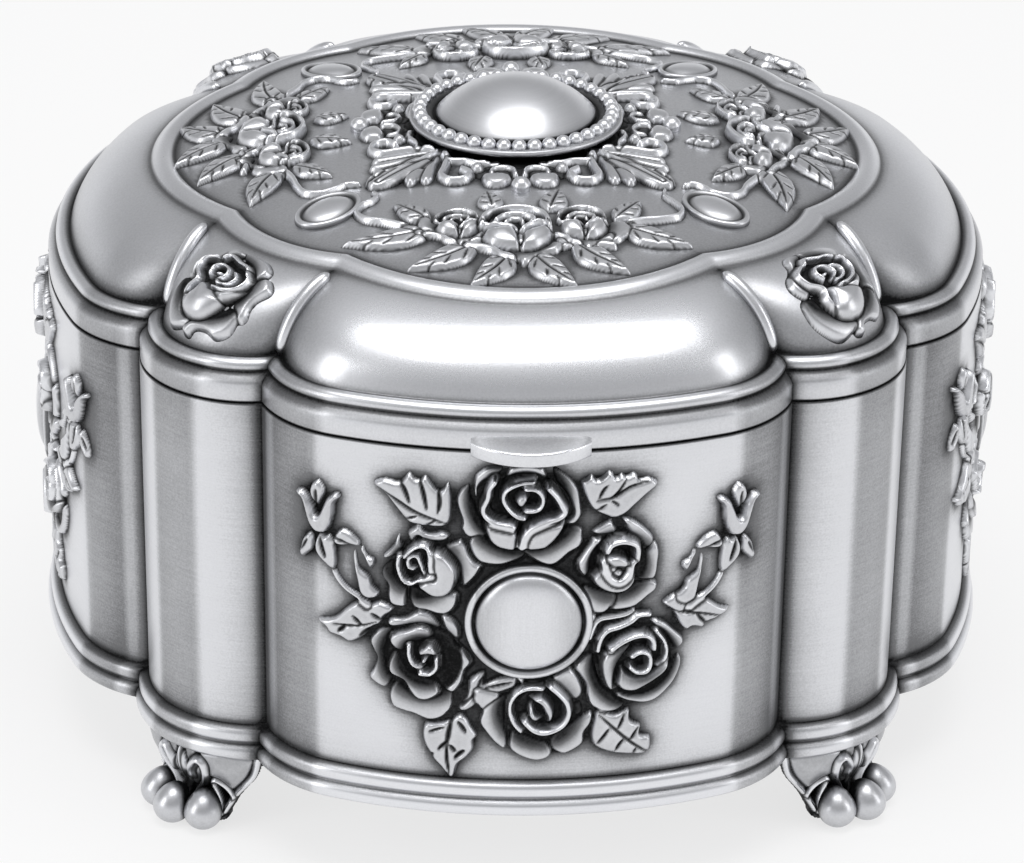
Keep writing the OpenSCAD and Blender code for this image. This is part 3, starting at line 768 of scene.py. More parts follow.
def path_gap(x: Array, y: Array, line: Array) -> tuple[Array, Array]:
    """Distance of points to a line, and the share of its length that the nearest place on it lies at."""
    a, span = line[:-1, :, None, None], np.diff(line, axis=0)[:, :, None, None]
    length = np.maximum((span**2).sum(axis=1), 1e-9)
    t = np.clip(((x - a[:, 0]) * span[:, 0] + (y - a[:, 1]) * span[:, 1]) / length, 0, 1)
    gap = np.hypot(x - a[:, 0] - t * span[:, 0], y - a[:, 1] - t * span[:, 1])
    best = gap.argmin(axis=0)[None]
    share = (np.take_along_axis(t, best, axis=0) + best)[0] / len(span)
    return np.take_along_axis(gap, best, axis=0)[0], share


def inside_of(x: Array, y: Array, ring: Array) -> Array:
    """Distance of points from a closed line, positive inside it."""
    gap, _ = path_gap(x, y, ring)
    a, b = ring[:-1, :, None, None], ring[1:, :, None, None]
    rise = np.where(b[:, 1] == a[:, 1], 1e-9, b[:, 1] - a[:, 1])
    crossed = ((a[:, 1] > y) != (b[:, 1] > y)) & (x < a[:, 0] + (y - a[:, 1]) * (b[:, 0] - a[:, 0]) / rise)
    return np.where(crossed.sum(axis=0) % 2 == 1, gap, -gap)


class Canvas:
    """Height and darkness of one cast relief, painted from its lowest pieces to its highest."""

    def __init__(self, low: Point2, high: Point2, step: float) -> None:
        """Clears a rectangle.

        Args:
            low: Lowest u and v.
            high: Highest u and v.
            step: Size of a cell.
        """
        self.step = step
        u = np.arange(low[0], high[0] + step / 2, step)
        v = np.arange(low[1], high[1] + step / 2, step)
        self.x, self.y = np.meshgrid(u, v)
        self.height = np.full(self.x.shape, GROUND)
        self.tone = np.full(self.x.shape, GROUND_TONE)

    def near(self, line: Array, margin: float) -> tuple[slice, slice]:
        """Rows and columns of the cells near a line."""
        origin = np.array([self.x[0, 0], self.y[0, 0]])
        low = np.maximum(np.floor((line.min(axis=0) - margin - origin) / self.step), 0).astype(int)
        high = np.maximum(np.ceil((line.max(axis=0) + margin - origin) / self.step), 1).astype(int)
        return slice(low[1], high[1] + 1), slice(low[0], high[0] + 1)

    def lay(
        self,
        at: tuple[slice, slice],
        inside: Array,
        top: Array,
        tone: Array | float,
        roundness: float = 0.52,
    ) -> None:
        """Lays one piece over what is painted, with a black groove round it and a painted highlight along
        its rounded edge.

        Args:
            at: Rows and columns that it covers.
            inside: Distance from the piece's border, positive within it.
            top: Height of the piece's surface.
            tone: How dark its surface is.
            roundness: Width over which its edge is rounded.
        """
        height, dark = self.height[at], self.tone[at]
        painted = height > GROUND + BARE
        beside = np.clip(1 + inside / GROOVE, 0, 1) * (inside <= 0)
        height = np.where(painted, height - UNDERCUT * beside, height)
        dark = np.maximum(dark, 0.95 * eased(beside * 1.5))
        rise = np.sin(math.pi / 2 * np.clip(inside / roundness, 0, 1))
        foot = np.where(painted, np.maximum(height - UNDERCUT, 0.05), GROUND)
        over = inside > 0
        edge = 0.5 * np.clip(1 - inside / 0.14, 0, 1)
        # Painted highlight: a light band just inside the rounded edge of each piece.
        rim = 0.14 * np.exp(-(((inside - 0.26) / 0.13) ** 2))
        self.height[at] = np.maximum(np.where(over, foot * (1 - rise) + top * rise, height), GROUND)
        self.tone[at] = np.where(over, np.clip(tone + edge - rim, 0, 1), dark)

    def finish(self) -> None:
        """Takes the steps of the grid off the edges."""
        self.height = softened(self.height, 0.13 / self.step)
        self.tone = softened(self.tone, 0.06 / self.step)

    def mask(self) -> Array:
        """Where the relief covers its ground, from 0 to 1."""
        return np.clip((self.height - 0.02) / 0.15, 0, 1)

    def patina_and_painted_light(self) -> Array:
        """How dark the finish is: the painted tone, blacker still in the cuts."""
        fine = softened(self.height, 0.3 / self.step) - self.height
        low = eased((0.3 - self.height) / 0.4)
        return np.clip(self.tone + 0.9 * np.clip(fine, -0.05, None) + 0.5 * low, 0, 1)

    def halo(self) -> Array:
        """How dark the ground is round the relief."""
        mask = self.mask()
        return np.clip(1.1 * softened(mask, 0.6 / self.step) + 0.95 * softened(mask, 2.2 / self.step), 0, 1)

    def sample(self, values: Array, u: Array, v: Array) -> Array:
        """Values of a map of this canvas at points, 0 beyond its edge."""
        i = np.rint((u - self.x[0, 0]) / self.step).astype(int)
        j = np.rint((v - self.y[0, 0]) / self.step).astype(int)
        rows, cols = values.shape
        within = (i >= 0) & (i < cols) & (j >= 0) & (j < rows)
        return np.where(within, values[np.clip(j, 0, rows - 1), np.clip(i, 0, cols - 1)], 0.0)

    def cast(self, name: str, place: Place, back: float) -> Object:
        """Makes a closed piece of the painted area.

        Args:
            name: Name of the piece.
            place: Gives the point for a u, a v and a height.
            back: Height of the hidden back of the piece.

        Returns:
            The piece, with its patina and painted highlights written on it.
        """
        kept = self.height > GROUND + 2 * BARE
        cells = kept[:-1, :-1] & kept[1:, :-1] & kept[:-1, 1:] & kept[1:, 1:]
        for _ in range(2):
            a, b, c, d = cells[:-1, :-1], cells[1:, 1:], cells[1:, :-1], cells[:-1, 1:]
            c |= a & b & ~d
            a |= c & d & ~b
        rows, cols = self.height.shape
        bm = bmesh.new()
        bpy.data.meshes.remove(lattice(bm, rows, cols))
        spare = []
        for face in bm.faces:
            middle = face.calc_center_median()
            if not cells[int(middle.y), int(middle.x)]:
                spare.append(face)
        bmesh.ops.delete(bm, geom=spare, context="FACES")
        bmesh.ops.solidify(bm, geom=bm.faces[:], thickness=1.0)
        mesh = bpy.data.meshes.new(name)
        bm.to_mesh(mesh)
        co = coordinates(mesh)
        index = np.rint(co[:, :2]).astype(int)
        i, j = index[:, 0], index[:, 1]
        front = np.abs(co[:, 2]) < 0.5
        height = np.where(front, self.height[j, i], back)
        points = place(self.x[j, i], self.y[j, i], height)
        mesh.vertices.foreach_set("co", (points * MM).astype(np.float32).ravel())
        patina_and_painted_light_layer(mesh, np.where(front, self.patina_and_painted_light()[j, i], 1.0))
        bm.clear()
        bm.from_mesh(mesh)
        bmesh.ops.recalc_face_normals(bm, faces=bm.faces)
        bm.to_mesh(mesh)
        bm.free()
        return object_of(name, mesh)


Points = tuple[Point2, ...]


@dataclass(frozen=True)
class Petal:
    """Petal, leaf or other closed shape of the relief."""

    points: Points
    level: float
    tilt: float = 0.0
    dome: float = 0.0
    heart: Point2 = (0.0, 0.0)
    tone: float = 0.27

    def paint(self, canvas: Canvas) -> None:
        """Paints the shape, sloping down towards the rose's heart where it is tilted."""
        ring = curve_through([*self.points[-1:], *self.points, *self.points[:2]], 5)[5:-5]
        at = canvas.near(ring, GROOVE)
        x, y = canvas.x[at], canvas.y[at]
        inside = inside_of(x, y, np.vstack([ring, ring[:1]]))
        top, tone = np.full(x.shape, self.level), np.full(x.shape, self.tone)
        if self.tilt:
            way = np.hypot(*(ring - self.heart).T)
            t = np.clip((np.hypot(x - self.heart[0], y - self.heart[1]) - way.min()) / np.ptp(way), 0, 1)
            top = top - self.tilt * self.level * (1 - t) ** 1.4
            tone = tone + 0.95 * min(self.tilt * 1.3, 1.0) * eased((0.74 - t) / 0.6)
        if self.dome:
            swell = 1 - np.exp(-np.clip(inside, 0, None) / 1.1)
            top = top + self.dome * swell
            tone = tone + 0.1 - 0.16 * swell
        canvas.lay(at, inside, np.maximum(top, 0.1), tone)


@dataclass(frozen=True)
class Lip:
    """Rolled edge of a petal, a stem or a tendril: a round band along a line."""

    points: Points
    width: float
    level: float
    end: float = 1.0

    def paint(self, canvas: Canvas) -> None:
        """Paints the band."""
        line = curve_through(list(self.points), CURVE_STEPS)
        at = canvas.near(line, self.width)
        gap, share = path_gap(canvas.x[at], canvas.y[at], line)
        half = self.width / 2 * (1 + (self.end - 1) * share)
        across = np.clip(gap / half, 0, 1)
        canvas.lay(at, half - gap, self.level - 0.12 * across**2, 0.14 + 0.24 * across**2)


@dataclass(frozen=True)
class Cut:
    """Black slit in a leaf or a sepal, widest in its middle."""

    points: Points
    width: float
    depth: float = 0.45

    def paint(self, canvas: Canvas) -> None:
        """Cuts the slit."""
        line = curve_through(list(self.points), CURVE_STEPS)
        at = canvas.near(line, self.width)
        gap, share = path_gap(canvas.x[at], canvas.y[at], line)
        half = self.width / 2 * (0.35 + 0.65 * np.sin(math.pi * np.clip(share, 0, 1)) ** 0.7)
        deep = eased(1.25 - gap / half)
        height = canvas.height[at]
        canvas.height[at] = np.where(height > GROUND + BARE, height - self.depth * deep, GROUND)
        canvas.tone[at] = np.maximum(canvas.tone[at], 0.98 * deep)


Piece = Petal | Lip | Cut


def oval(x: float, y: float, rx: float, ry: float) -> Points:
    """Points round an oval."""
    return tuple((x + rx * math.cos(a), y + ry * math.sin(a)) for a in np.arange(12) * math.tau / 12)


def hollow(x: float, y: float, rx: float, ry: float, height: float) -> Petal:
    """Black hollow of a rose, that its inner petals stand in."""
    return Petal(oval(x, y, rx, ry), height, 0.6, heart=(x, y), tone=0.85)


def placed(pieces: list[Piece], x: float, y: float, sx: float, sy: float, lift: float = 1.0) -> list[Piece]:
    """Copies of pieces, stretched about the origin and moved to a place, lower by a share."""
    out = []
    for piece in pieces:
        points = tuple((x + sx * u, y + sy * v) for u, v in piece.points)
        size = math.sqrt(abs(sx * sy))
        if isinstance(piece, Petal):
            heart = (x + sx * piece.heart[0], y + sy * piece.heart[1])
            out.append(replace(piece, points=points, heart=heart, level=piece.level * lift))
        elif isinstance(piece, Lip):
            out.append(replace(piece, points=points, width=piece.width * size, level=piece.level * lift))
        else:
            out.append(replace(piece, points=points, width=piece.width * size))
    return out


def leaf(base: Point2, tip: Point2, width: float, bend: float = 0.0, height: float = 0.85) -> list[Piece]:
    """Pointed leaf with its midrib and its side veins cut in.

    Args:
        base: Foot of the leaf.
        tip: Its point.
        width: Its greatest width.
        bend: How far its middle is pushed aside, as a share of its length.
        height: Height of its surface.

    Returns:
        The leaf and its cuts.
    """
    length = math.hypot(tip[0] - base[0], tip[1] - base[1])
    ax, ay = (tip[0] - base[0]) / length, (tip[1] - base[1]) / length

    def at(t: float, across: float) -> Point2:
        """Point of the bent leaf."""
        aside = across + bend * length * 4 * t * (1 - t)
        return (base[0] + ax * t * length - ay * aside, base[1] + ay * t * length + ax * aside)

    side = ((0.0, 0.12), (0.12, 0.62), (0.3, 0.98), (0.5, 0.95), (0.7, 0.68), (0.86, 0.36))
    left = [at(t, width / 2 * share) for t, share in side]
    right = [at(t, -width / 2 * share) for t, share in reversed(side)]
    midrib = Cut((at(0.05, 0.0), at(0.45, 0.0), at(0.88, 0.0)), 0.075 * width + 0.1, 0.35)
    pieces: list[Piece] = [Petal((*left, at(1.0, 0.0), *right), height - 0.1, 0.0, 0.3), midrib]
    for t in (0.22, 0.46, 0.66):
        for way in (-1, 1):
            vein = (at(t, way * 0.1 * width), at(t + 0.13, way * (width * (0.44 - 0.3 * t))))
            pieces.append(Cut(vein, 0.06 * width + 0.08, 0.3))
    return pieces


def cupped_rose() -> list[Piece]:
    """Half-open rose: a cup of two full petals, a coil in its mouth and ruffled petals below."""
    return [
        Lip(((-5.6, -4.9), (-4.2, -5.3), (-2.7, -6.0), (-1.8, -7.1), (-0.3, -7.9)), 1.5, 0.95),
        Petal(((-0.4, -6.1), (1.7, -6.6), (3.3, -5.4), (4.7, -4.1), (5.6, -4.9), (5.2, -6.3),
            (3.9, -6.8), (2.5, -7.6), (1.4, -9.1), (0.6, -9.2), (0.0, -7.6)), 1.0, 0.5,
            heart=(1.0, -4.0)),
        Lip(((-3.8, -0.4), (-3.3, 1.0), (-0.4, 2.5), (2.0, 2.3), (3.6, 1.2), (4.2, -0.6)), 1.25, 1.75),
        hollow(0.2, -0.2, 3.4, 2.2, 1.5),
        Lip(((-2.2, -0.2), (-1.1, 1.1), (0.9, 1.4), (2.4, 0.4), (1.9, -0.8)), 0.75, 1.95),
        Lip(((-1.1, -0.5), (-0.4, 0.4), (0.8, 0.4), (1.1, -0.3)), 0.6, 2.05),
        Petal(((-3.9, -3.6), (-3.6, -2.3), (-1.7, -1.5), (0.1, -1.7), (0.7, -3.5), (0.8, -5.2),
            (0.2, -5.9), (-1.5, -5.7), (-3.1, -5.0)), 0.75, 0.0, 1.35),
        Petal(((0.7, -3.0), (2.2, -1.8), (4.1, -1.1), (4.7, -2.9), (4.0, -4.5), (2.5, -5.8),
            (0.7, -5.9), (0.6, -4.5)), 0.75, 0.0, 1.35),
        Lip(((-4.0, -0.9), (-3.0, -1.2), (-1.6, -1.1), (-0.2, -1.4), (0.6, -2.9), (0.7, -4.6)), 0.8,
            2.1, 0.6),
        Lip(((0.9, -2.6), (2.2, -1.3), (3.6, -0.9), (4.4, -1.8)), 0.85, 2.1),
    ]


def ruffled_rose() -> list[Piece]:
    """Full rose: a coil and a round petal inside five ruffled ones."""
    heart = (1.0, 1.2)
    return [
        Petal(((-0.3, 5.9), (0.6, 6.5), (3.0, 6.4), (4.6, 6.0), (6.0, 4.8), (5.7, 3.0), (4.7, 2.2),
            (2.9, 3.6)), 1.1, 0.7, heart=heart),
        Petal(((6.1, 4.0), (7.4, 3.5), (8.0, 2.3), (7.2, 0.6), (7.0, -0.4), (7.3, -2.0), (6.6, -2.9),
            (5.2, -2.4), (4.6, -0.4), (4.8, 2.0)), 1.1, 0.75, heart=heart),
        Petal(((4.6, -1.4), (6.0, -1.8), (6.5, -3.0), (6.2, -4.6), (4.8, -5.8), (3.3, -5.5),
            (1.7, -5.8), (1.2, -6.8), (0.0, -6.6), (-0.3, -5.6), (0.8, -3.8), (3.0, -3.0)), 1.1, 0.75,
            heart=heart),
        Petal(((-5.0, -0.1), (-3.4, 0.5), (-2.6, -2.0), (-1.4, -4.0), (0.4, -4.5), (0.5, -5.2),
            (-0.5, -6.1), (-2.4, -6.4), (-3.9, -5.2), (-5.1, -2.9)), 1.1, 0.7, heart=heart),
        Petal(((-1.5, 6.4), (-2.2, 5.7), (-2.5, 4.8), (-3.3, 4.1), (-4.2, 3.5), (-4.8, 2.5),
            (-4.8, 1.5), (-4.5, 0.7), (-3.9, 0.1), (-2.8, 0.5), (-2.4, 1.9), (-1.7, 3.3), (-0.7, 4.5),
            (0.5, 5.2), (0.4, 6.1), (-0.6, 6.5)), 1.1, 0.6, heart=heart),
        hollow(0.8, 1.6, 3.6, 3.4, 1.3),
        Lip(((-1.6, 4.0), (-3.2, 3.1), (-3.0, 1.5), (-1.7, 0.2), (-2.1, -1.4), (-1.7, -3.2)), 1.0, 1.7),
        Lip(((-0.9, 4.1), (-0.2, 4.8), (1.5, 4.3), (3.2, 4.0), (4.5, 2.9)), 0.95, 1.85),
        Petal(((-0.7, 0.3), (-1.2, -1.1), (-1.9, -2.7), (-1.5, -4.1), (0.2, -4.8), (2.2, -4.4),
            (3.5, -2.8), (3.8, -1.2), (2.2, -0.3), (0.8, -0.2)), 1.0, 0.0, 1.15),
        Petal(((1.4, -0.3), (3.3, -0.1), (4.8, 1.0), (5.2, 2.3), (5.4, 0.9), (4.7, -0.5), (3.7, -1.5),
            (2.8, -1.2)), 1.6, 0.0, 0.4),
        Lip(((1.2, -0.2), (3.2, 0.0), (4.6, 0.9), (4.9, 2.3), (4.2, 3.2)), 0.8, 2.1),
        Lip(((-0.5, 1.2), (-0.8, 2.4), (0.1, 3.1), (1.4, 2.7), (1.8, 1.6), (0.9, 0.8)), 0.75, 2.15),
        Lip(((1.2, 0.5), (2.8, 0.8), (3.3, 1.9), (2.4, 2.7)), 0.7, 2.1),
        Lip(((0.1, 1.8), (0.8, 1.9)), 0.6, 2.1),
    ]


def acanthus_side() -> list[Piece]:
    """Front side of the square: two scrolls that end in balls, and a fingered leaf on each side of them."""
    half: list[Piece] = [
        Petal(oval(3.4, -15.6, 3.2, 2.4), 0.3, tone=0.9),
        Petal(((9.6, -10.6), (10.2, -14.6), (10.6, -17.4), (11.7, -18.6), (12.7, -17.4), (12.3, -15.0),
            (11.4, -11.0)), 0.7, 0.0, 0.35),
        Petal(((10.8, -10.8), (11.9, -15.2), (12.7, -18.0), (13.8, -18.9), (14.6, -17.6), (14.1, -15.2),
            (12.6, -11.0)), 0.75, 0.0, 0.35),
        Petal(((12.0, -11.0), (13.6, -15.2), (14.8, -17.9), (16.0, -18.5), (16.8, -17.2), (16.0, -14.8),
            (14.0, -11.4)), 0.8, 0.0, 0.35),
        Petal(((11.2, -12.2), (13.8, -15.2), (16.4, -17.6), (18.4, -18.9), (19.3, -18.2), (18.9, -16.4),
            (17.2, -14.6), (14.6, -12.4), (12.4, -11.0)), 0.85, 0.0, 0.4),
        Lip(((8.6, -8.8), (11.2, -11.0), (13.6, -13.4), (16.2, -15.8), (18.2, -17.6)), 1.0, 1.4, 0.6),
        Lip(((10.0, -9.8), (12.2, -12.0), (13.8, -14.2), (14.9, -16.6)), 0.8, 1.25, 0.6),
        Lip(((9.4, -9.6), (9.0, -12.4), (9.4, -15.0), (9.8, -16.9), (8.6, -18.4), (6.9, -18.1),
            (6.2, -16.6), (7.2, -15.3)), 1.5, 1.15, 0.8),
        Lip(((8.8, -12.6), (6.8, -12.8), (5.0, -13.6), (2.8, -13.4)), 1.1, 0.95),
        Petal(oval(5.3, -14.9, 0.95, 0.95), 0.8, 0.0, 0.5),
        Petal(((4.8, -17.2), (4.7, -19.2), (3.1, -20.1), (1.4, -19.3), (1.0, -17.6), (2.8, -16.8)),
            0.75, 0.0, 0.55),
        Lip(((0.5, -17.0), (0.8, -15.5), (2.1, -14.8), (3.4, -15.3), (3.5, -16.3)), 0.95, 1.05, 0.7),
    ]
    return half + placed(half, 0.0, 0.0, -1.0, 1.0)


def paint_all(canvas: Canvas, pieces: list[Piece]) -> None:
    """Paints pieces in order, then takes the steps off."""
    for piece in pieces:
        piece.paint(canvas)
    canvas.finish()


# ---------------------------------------------------------------- body


def spray_leaves() -> list[Piece]:
    """Leaves of the front spray."""
    return [
        Petal(((-25.7, 24.3), (-24, 24.7), (-23, 25.3), (-21.7, 26.7), (-20.1, 27.8), (-18.7, 27.7),
            (-17.5, 28), (-15.8, 27.1), (-16.9, 25.9), (-17.5, 24.8), (-18.5, 24.2), (-19.5, 22.8),
            (-21.3, 21.7), (-22.6, 22.2), (-24, 22.5), (-24.6, 23.3), (-25.4, 23.7)), 0.9),
        Cut(((-20.9, 25.5), (-19.9, 24.5)), 0.59),
        Cut(((-18.6, 26.2), (-17.4, 25.5)), 0.59),
        Cut(((-22.8, 23.1), (-21.9, 24)), 0.76),
        Cut(((-20.1, 22.9), (-18.9, 24.2)), 0.69),
        Cut(((-23.7, 24), (-21.9, 24.1), (-19.9, 24.4), (-18, 25.2)), 0.35),
        Petal(((15.8, 27.8), (17.3, 28.9), (19.2, 29.5), (20.1, 28.5), (20.7, 28.3), (22.1, 27.4),
            (23.4, 26.4), (25, 25.8), (24.4, 25.3), (23.3, 24.6), (21.7, 24.2), (21.3, 23.5),
            (19.7, 23.9), (19.1, 23.4), (18, 24.6), (17.2, 26.4)), 0.9),
        Cut(((16.8, 26.8), (18.9, 26.2), (21, 25.7), (23.6, 24.9)), 0.38),
        Cut(((18.9, 26.6), (20.1, 27.5)), 0.61),
        Cut(((20.3, 25.7), (21.5, 24.2)), 0.61),
        Petal(((-12.2, 12.2), (-12.6, 10.8), (-12.4, 9.3), (-11.7, 7.9), (-11.2, 7), (-10.4, 6.1),
            (-9.7, 5.2), (-9, 4.5), (-8.4, 5.1), (-8, 6.6), (-7, 7.6), (-6.2, 8.8), (-6.2, 10),
            (-5.7, 10.8), (-6.4, 12), (-7.1, 13.3), (-8.2, 13.7), (-9.4, 12.8), (-11, 12.3)), 0.9),
        Cut(((-8.9, 13.4), (-9.3, 11), (-9.5, 9.6)), 0.8),
        Cut(((-9.5, 9.6), (-9.5, 7.6), (-9.2, 5.4)), 0.54),
        Cut(((-10.5, 8.7), (-9.5, 9.8)), 0.64),
        Cut(((-9.2, 9.4), (-8.4, 8.5)), 0.64),
        Cut(((-8.2, 12.7), (-7.2, 11.3)), 0.7),
        Cut(((-8.6, 7.6), (-7.4, 8.8)), 0.8),
        Cut(((-11.7, 11), (-9.8, 11.8)), 0.48),
        Cut(((-11.5, 7.5), (-11.1, 8.2)), 0.48),
        Petal(((8.5, 14.5), (10.4, 13.5), (12.3, 14.1), (12.6, 12.4), (13.9, 11.6), (13.8, 10.3),
            (15.1, 9.9), (14.8, 7.5), (11.8, 7.5), (8.9, 8.4), (7.6, 9.8), (7.7, 12.2)), 0.8, 0.0, 0.25),
        Cut(((8.5, 13.6), (10.4, 11.5), (12.6, 9.3), (14.8, 7.6)), 0.5),
        Cut(((8.4, 9.6), (9.2, 10.6), (9.8, 11.6)), 0.5),
        Cut(((10.6, 8.4), (11.1, 9.3), (11.6, 10.0)), 0.5),
        Cut(((12.8, 7.8), (13.2, 8.6)), 0.4),
        Cut(((11.6, 13.4), (11.3, 12.4), (10.8, 11.4)), 0.5),
        Cut(((13.4, 11.4), (12.8, 10.4), (12.4, 9.8)), 0.5),
        Petal(((-8.4, 14.3), (-7.2, 16.3), (-6.9, 18.4), (-5.2, 19.5), (-5.3, 17.8), (-3.5, 18.7),
            (-1.4, 19.2), (-1.3, 17.7), (-3.1, 16.7), (-5.5, 15.2), (-7.1, 14.0)), 0.75, 0.0, 0.2,
            tone=0.32),
        Cut(((-7.8, 14.8), (-6.2, 16.6), (-5.5, 18.6)), 0.5),
        Cut(((-5.0, 17.4), (-3.4, 17.9), (-1.9, 18.3)), 0.45),
        Petal(((-6.3, 17.2), (-4.7, 17.1), (-3.1, 16.5), (-3.3, 14.6), (-4.6, 13.6), (-6.0, 14.9)), 0.8,
            0.0, 0.2),
        Petal(((3.1, 19.0), (4.9, 20.1), (6.1, 18.6), (6.6, 16.6), (5.7, 15.6), (4.4, 16.6),
            (2.8, 18.1)), 0.8, 0.2, heart=(1.6, 14.3)),
        Petal(((6.0, 27.0), (7.8, 27.3), (8.4, 25.0), (7.5, 23.4), (6.3, 24.4)), 0.8, 0.2,
            heart=(13.3, 20.3)),
        Petal(((-10.2, 26.9), (-8.8, 26.4), (-8.0, 25.0), (-8.4, 23.7), (-9.8, 24.8)), 0.8, 0.2,
            heart=(-12.1, 20.9)),
        Petal(((-18.6, 43.5), (-17.2, 44.4), (-15.4, 44.2), (-14.2, 45.5), (-13.2, 44.7), (-12.1, 45.2),
            (-10.6, 43.5), (-9.5, 44.6), (-9.0, 42.2), (-9.3, 39.0), (-11.6, 38.4), (-14.1, 38.7),
            (-15.2, 39.8), (-16.8, 41.8)), 0.8, 0.0, 0.25),
        Cut(((-18.0, 43.2), (-15.6, 41.8), (-13.2, 40.4), (-9.8, 39.2)), 0.5),
        Cut(((-15.2, 44.2), (-14.6, 43.2), (-14.0, 41.6)), 0.7),
        Cut(((-12.9, 44.8), (-12.4, 43.0), (-12.0, 41.0)), 0.7),
        Cut(((-10.7, 43.6), (-10.5, 42.0), (-10.7, 40.6)), 0.7),
        Cut(((-14.4, 39.4), (-13.2, 39.9)), 0.45),
        Cut(((-12.0, 38.8), (-11.0, 39.5)), 0.4),
        Petal(((5.7, 44.6), (6.3, 45.2), (7.2, 45.7), (7.7, 45), (8.4, 45.4), (9, 46), (9.7, 45.8),
            (10, 45.1), (10.6, 45.6), (11.2, 45.2), (12.1, 45.6), (12.7, 45.1), (12.8, 44.6),
            (13.9, 44.8), (15, 44.2), (15, 43.5), (13.8, 42.5), (12.3, 41.1), (11.3, 40.2), (9.9, 39.6),
            (8.6, 40.1), (7.2, 40.9), (6.4, 42.3)), 0.9),
        Cut(((7.7, 42.3), (9.7, 42.6), (11.6, 43.8), (13.8, 44.3)), 0.45),
        Cut(((7.9, 42.5), (8.4, 43.5), (8.9, 44.2)), 0.49),
        Cut(((9.6, 42.6), (10.4, 43.5), (11.1, 44.8)), 0.42),
        Cut(((9.4, 42.2), (10.3, 41.5)), 0.42),
        Cut(((7.4, 40.7), (8.9, 41.8)), 0.38),
    ]


def upper_left_rose() -> list[Piece]:
    """Rose at the upper left: a coil beside one full round petal."""
    heart = (-13.3, 33.5)
    return [
        Petal(((-9.9, 36), (-8.7, 36.9), (-7.9, 37.2), (-7.4, 36.3), (-7, 35.2), (-6.4, 34.3),
            (-5.6, 33.8), (-5.9, 32.7), (-6.8, 31.5), (-7.7, 30.9), (-8.1, 32.4), (-8.4, 34),
            (-9.2, 35.1)), 1.0, 0.4, heart=heart),
        Petal(((-14.5, 37.5), (-13.8, 38.3), (-12.9, 38.7), (-12.2, 38), (-11.4, 37.9), (-10.2, 38.2),
            (-9.3, 37.8), (-9.2, 37.3), (-10.1, 36.7), (-11.4, 36.6), (-12.4, 36.7), (-13, 37.1),
            (-13.5, 36.4), (-14, 36.3), (-14.3, 36.9)), 1.0, 0.2, heart=heart),
        Petal(((-15, 37.6), (-15.6, 37), (-16.2, 35.6), (-17.5, 34.1), (-17.3, 33.6), (-16.5, 33.7),
            (-15.1, 34.9), (-14.8, 35.6), (-15.1, 36.4)), 0.9, 0.4, heart=heart),
        Petal(((-15.9, 33.7), (-17.1, 33), (-17.6, 32), (-17.4, 31), (-16.8, 30.1), (-16.8, 28.7),
            (-16.2, 27.6), (-14.4, 27.5), (-14.5, 28.5), (-14.4, 29.9), (-15.3, 30.8), (-15.9, 31.8),
            (-15.9, 32.9)), 1.0, 0.7, heart=heart),
        Petal(((-14.1, 30.2), (-14, 28.5), (-13.4, 27.5), (-11.9, 27.3), (-10.8, 27), (-9.9, 27),
            (-8.9, 27.6), (-8.3, 28.7), (-8.4, 29.9), (-9.6, 30.2), (-11.4, 30.1), (-12.6, 30.3),
            (-13.4, 30.5)), 1.05, 0.8, heart=heart),
        hollow(-13.2, 33.3, 2.1, 2.6, 1.2),
        Petal(((-11.5, 35.8), (-10, 35.7), (-9, 34.8), (-8.3, 33.6), (-8.2, 32.3), (-8.7, 30.7),
            (-9.8, 29.8), (-11.2, 29.7), (-12.5, 30.5), (-13.1, 31.1), (-12.2, 32.5), (-11.7, 34.2)),
            1.9, 0.0, 0.45),
        Lip(((-14.5, 34.6), (-13.7, 35.7), (-12.6, 36.4), (-11.8, 36.1), (-11.5, 35), (-11.5, 33.8),
            (-11.2, 32.7)), 1.0, 2.1),
        Lip(((-15.2, 34.5), (-15.3, 33.4), (-15, 32.2), (-14.5, 31.4), (-13.7, 31.2), (-12.8, 31.8),
            (-12, 32.3), (-11.2, 32.5)), 0.85, 2.1),
        Lip(((-13.4, 33), (-14, 33.1), (-14.2, 33.9), (-13.7, 34.6), (-13.1, 34.7), (-12.7, 33.8),
            (-12.3, 32.7)), 0.66, 1.95),
    ]


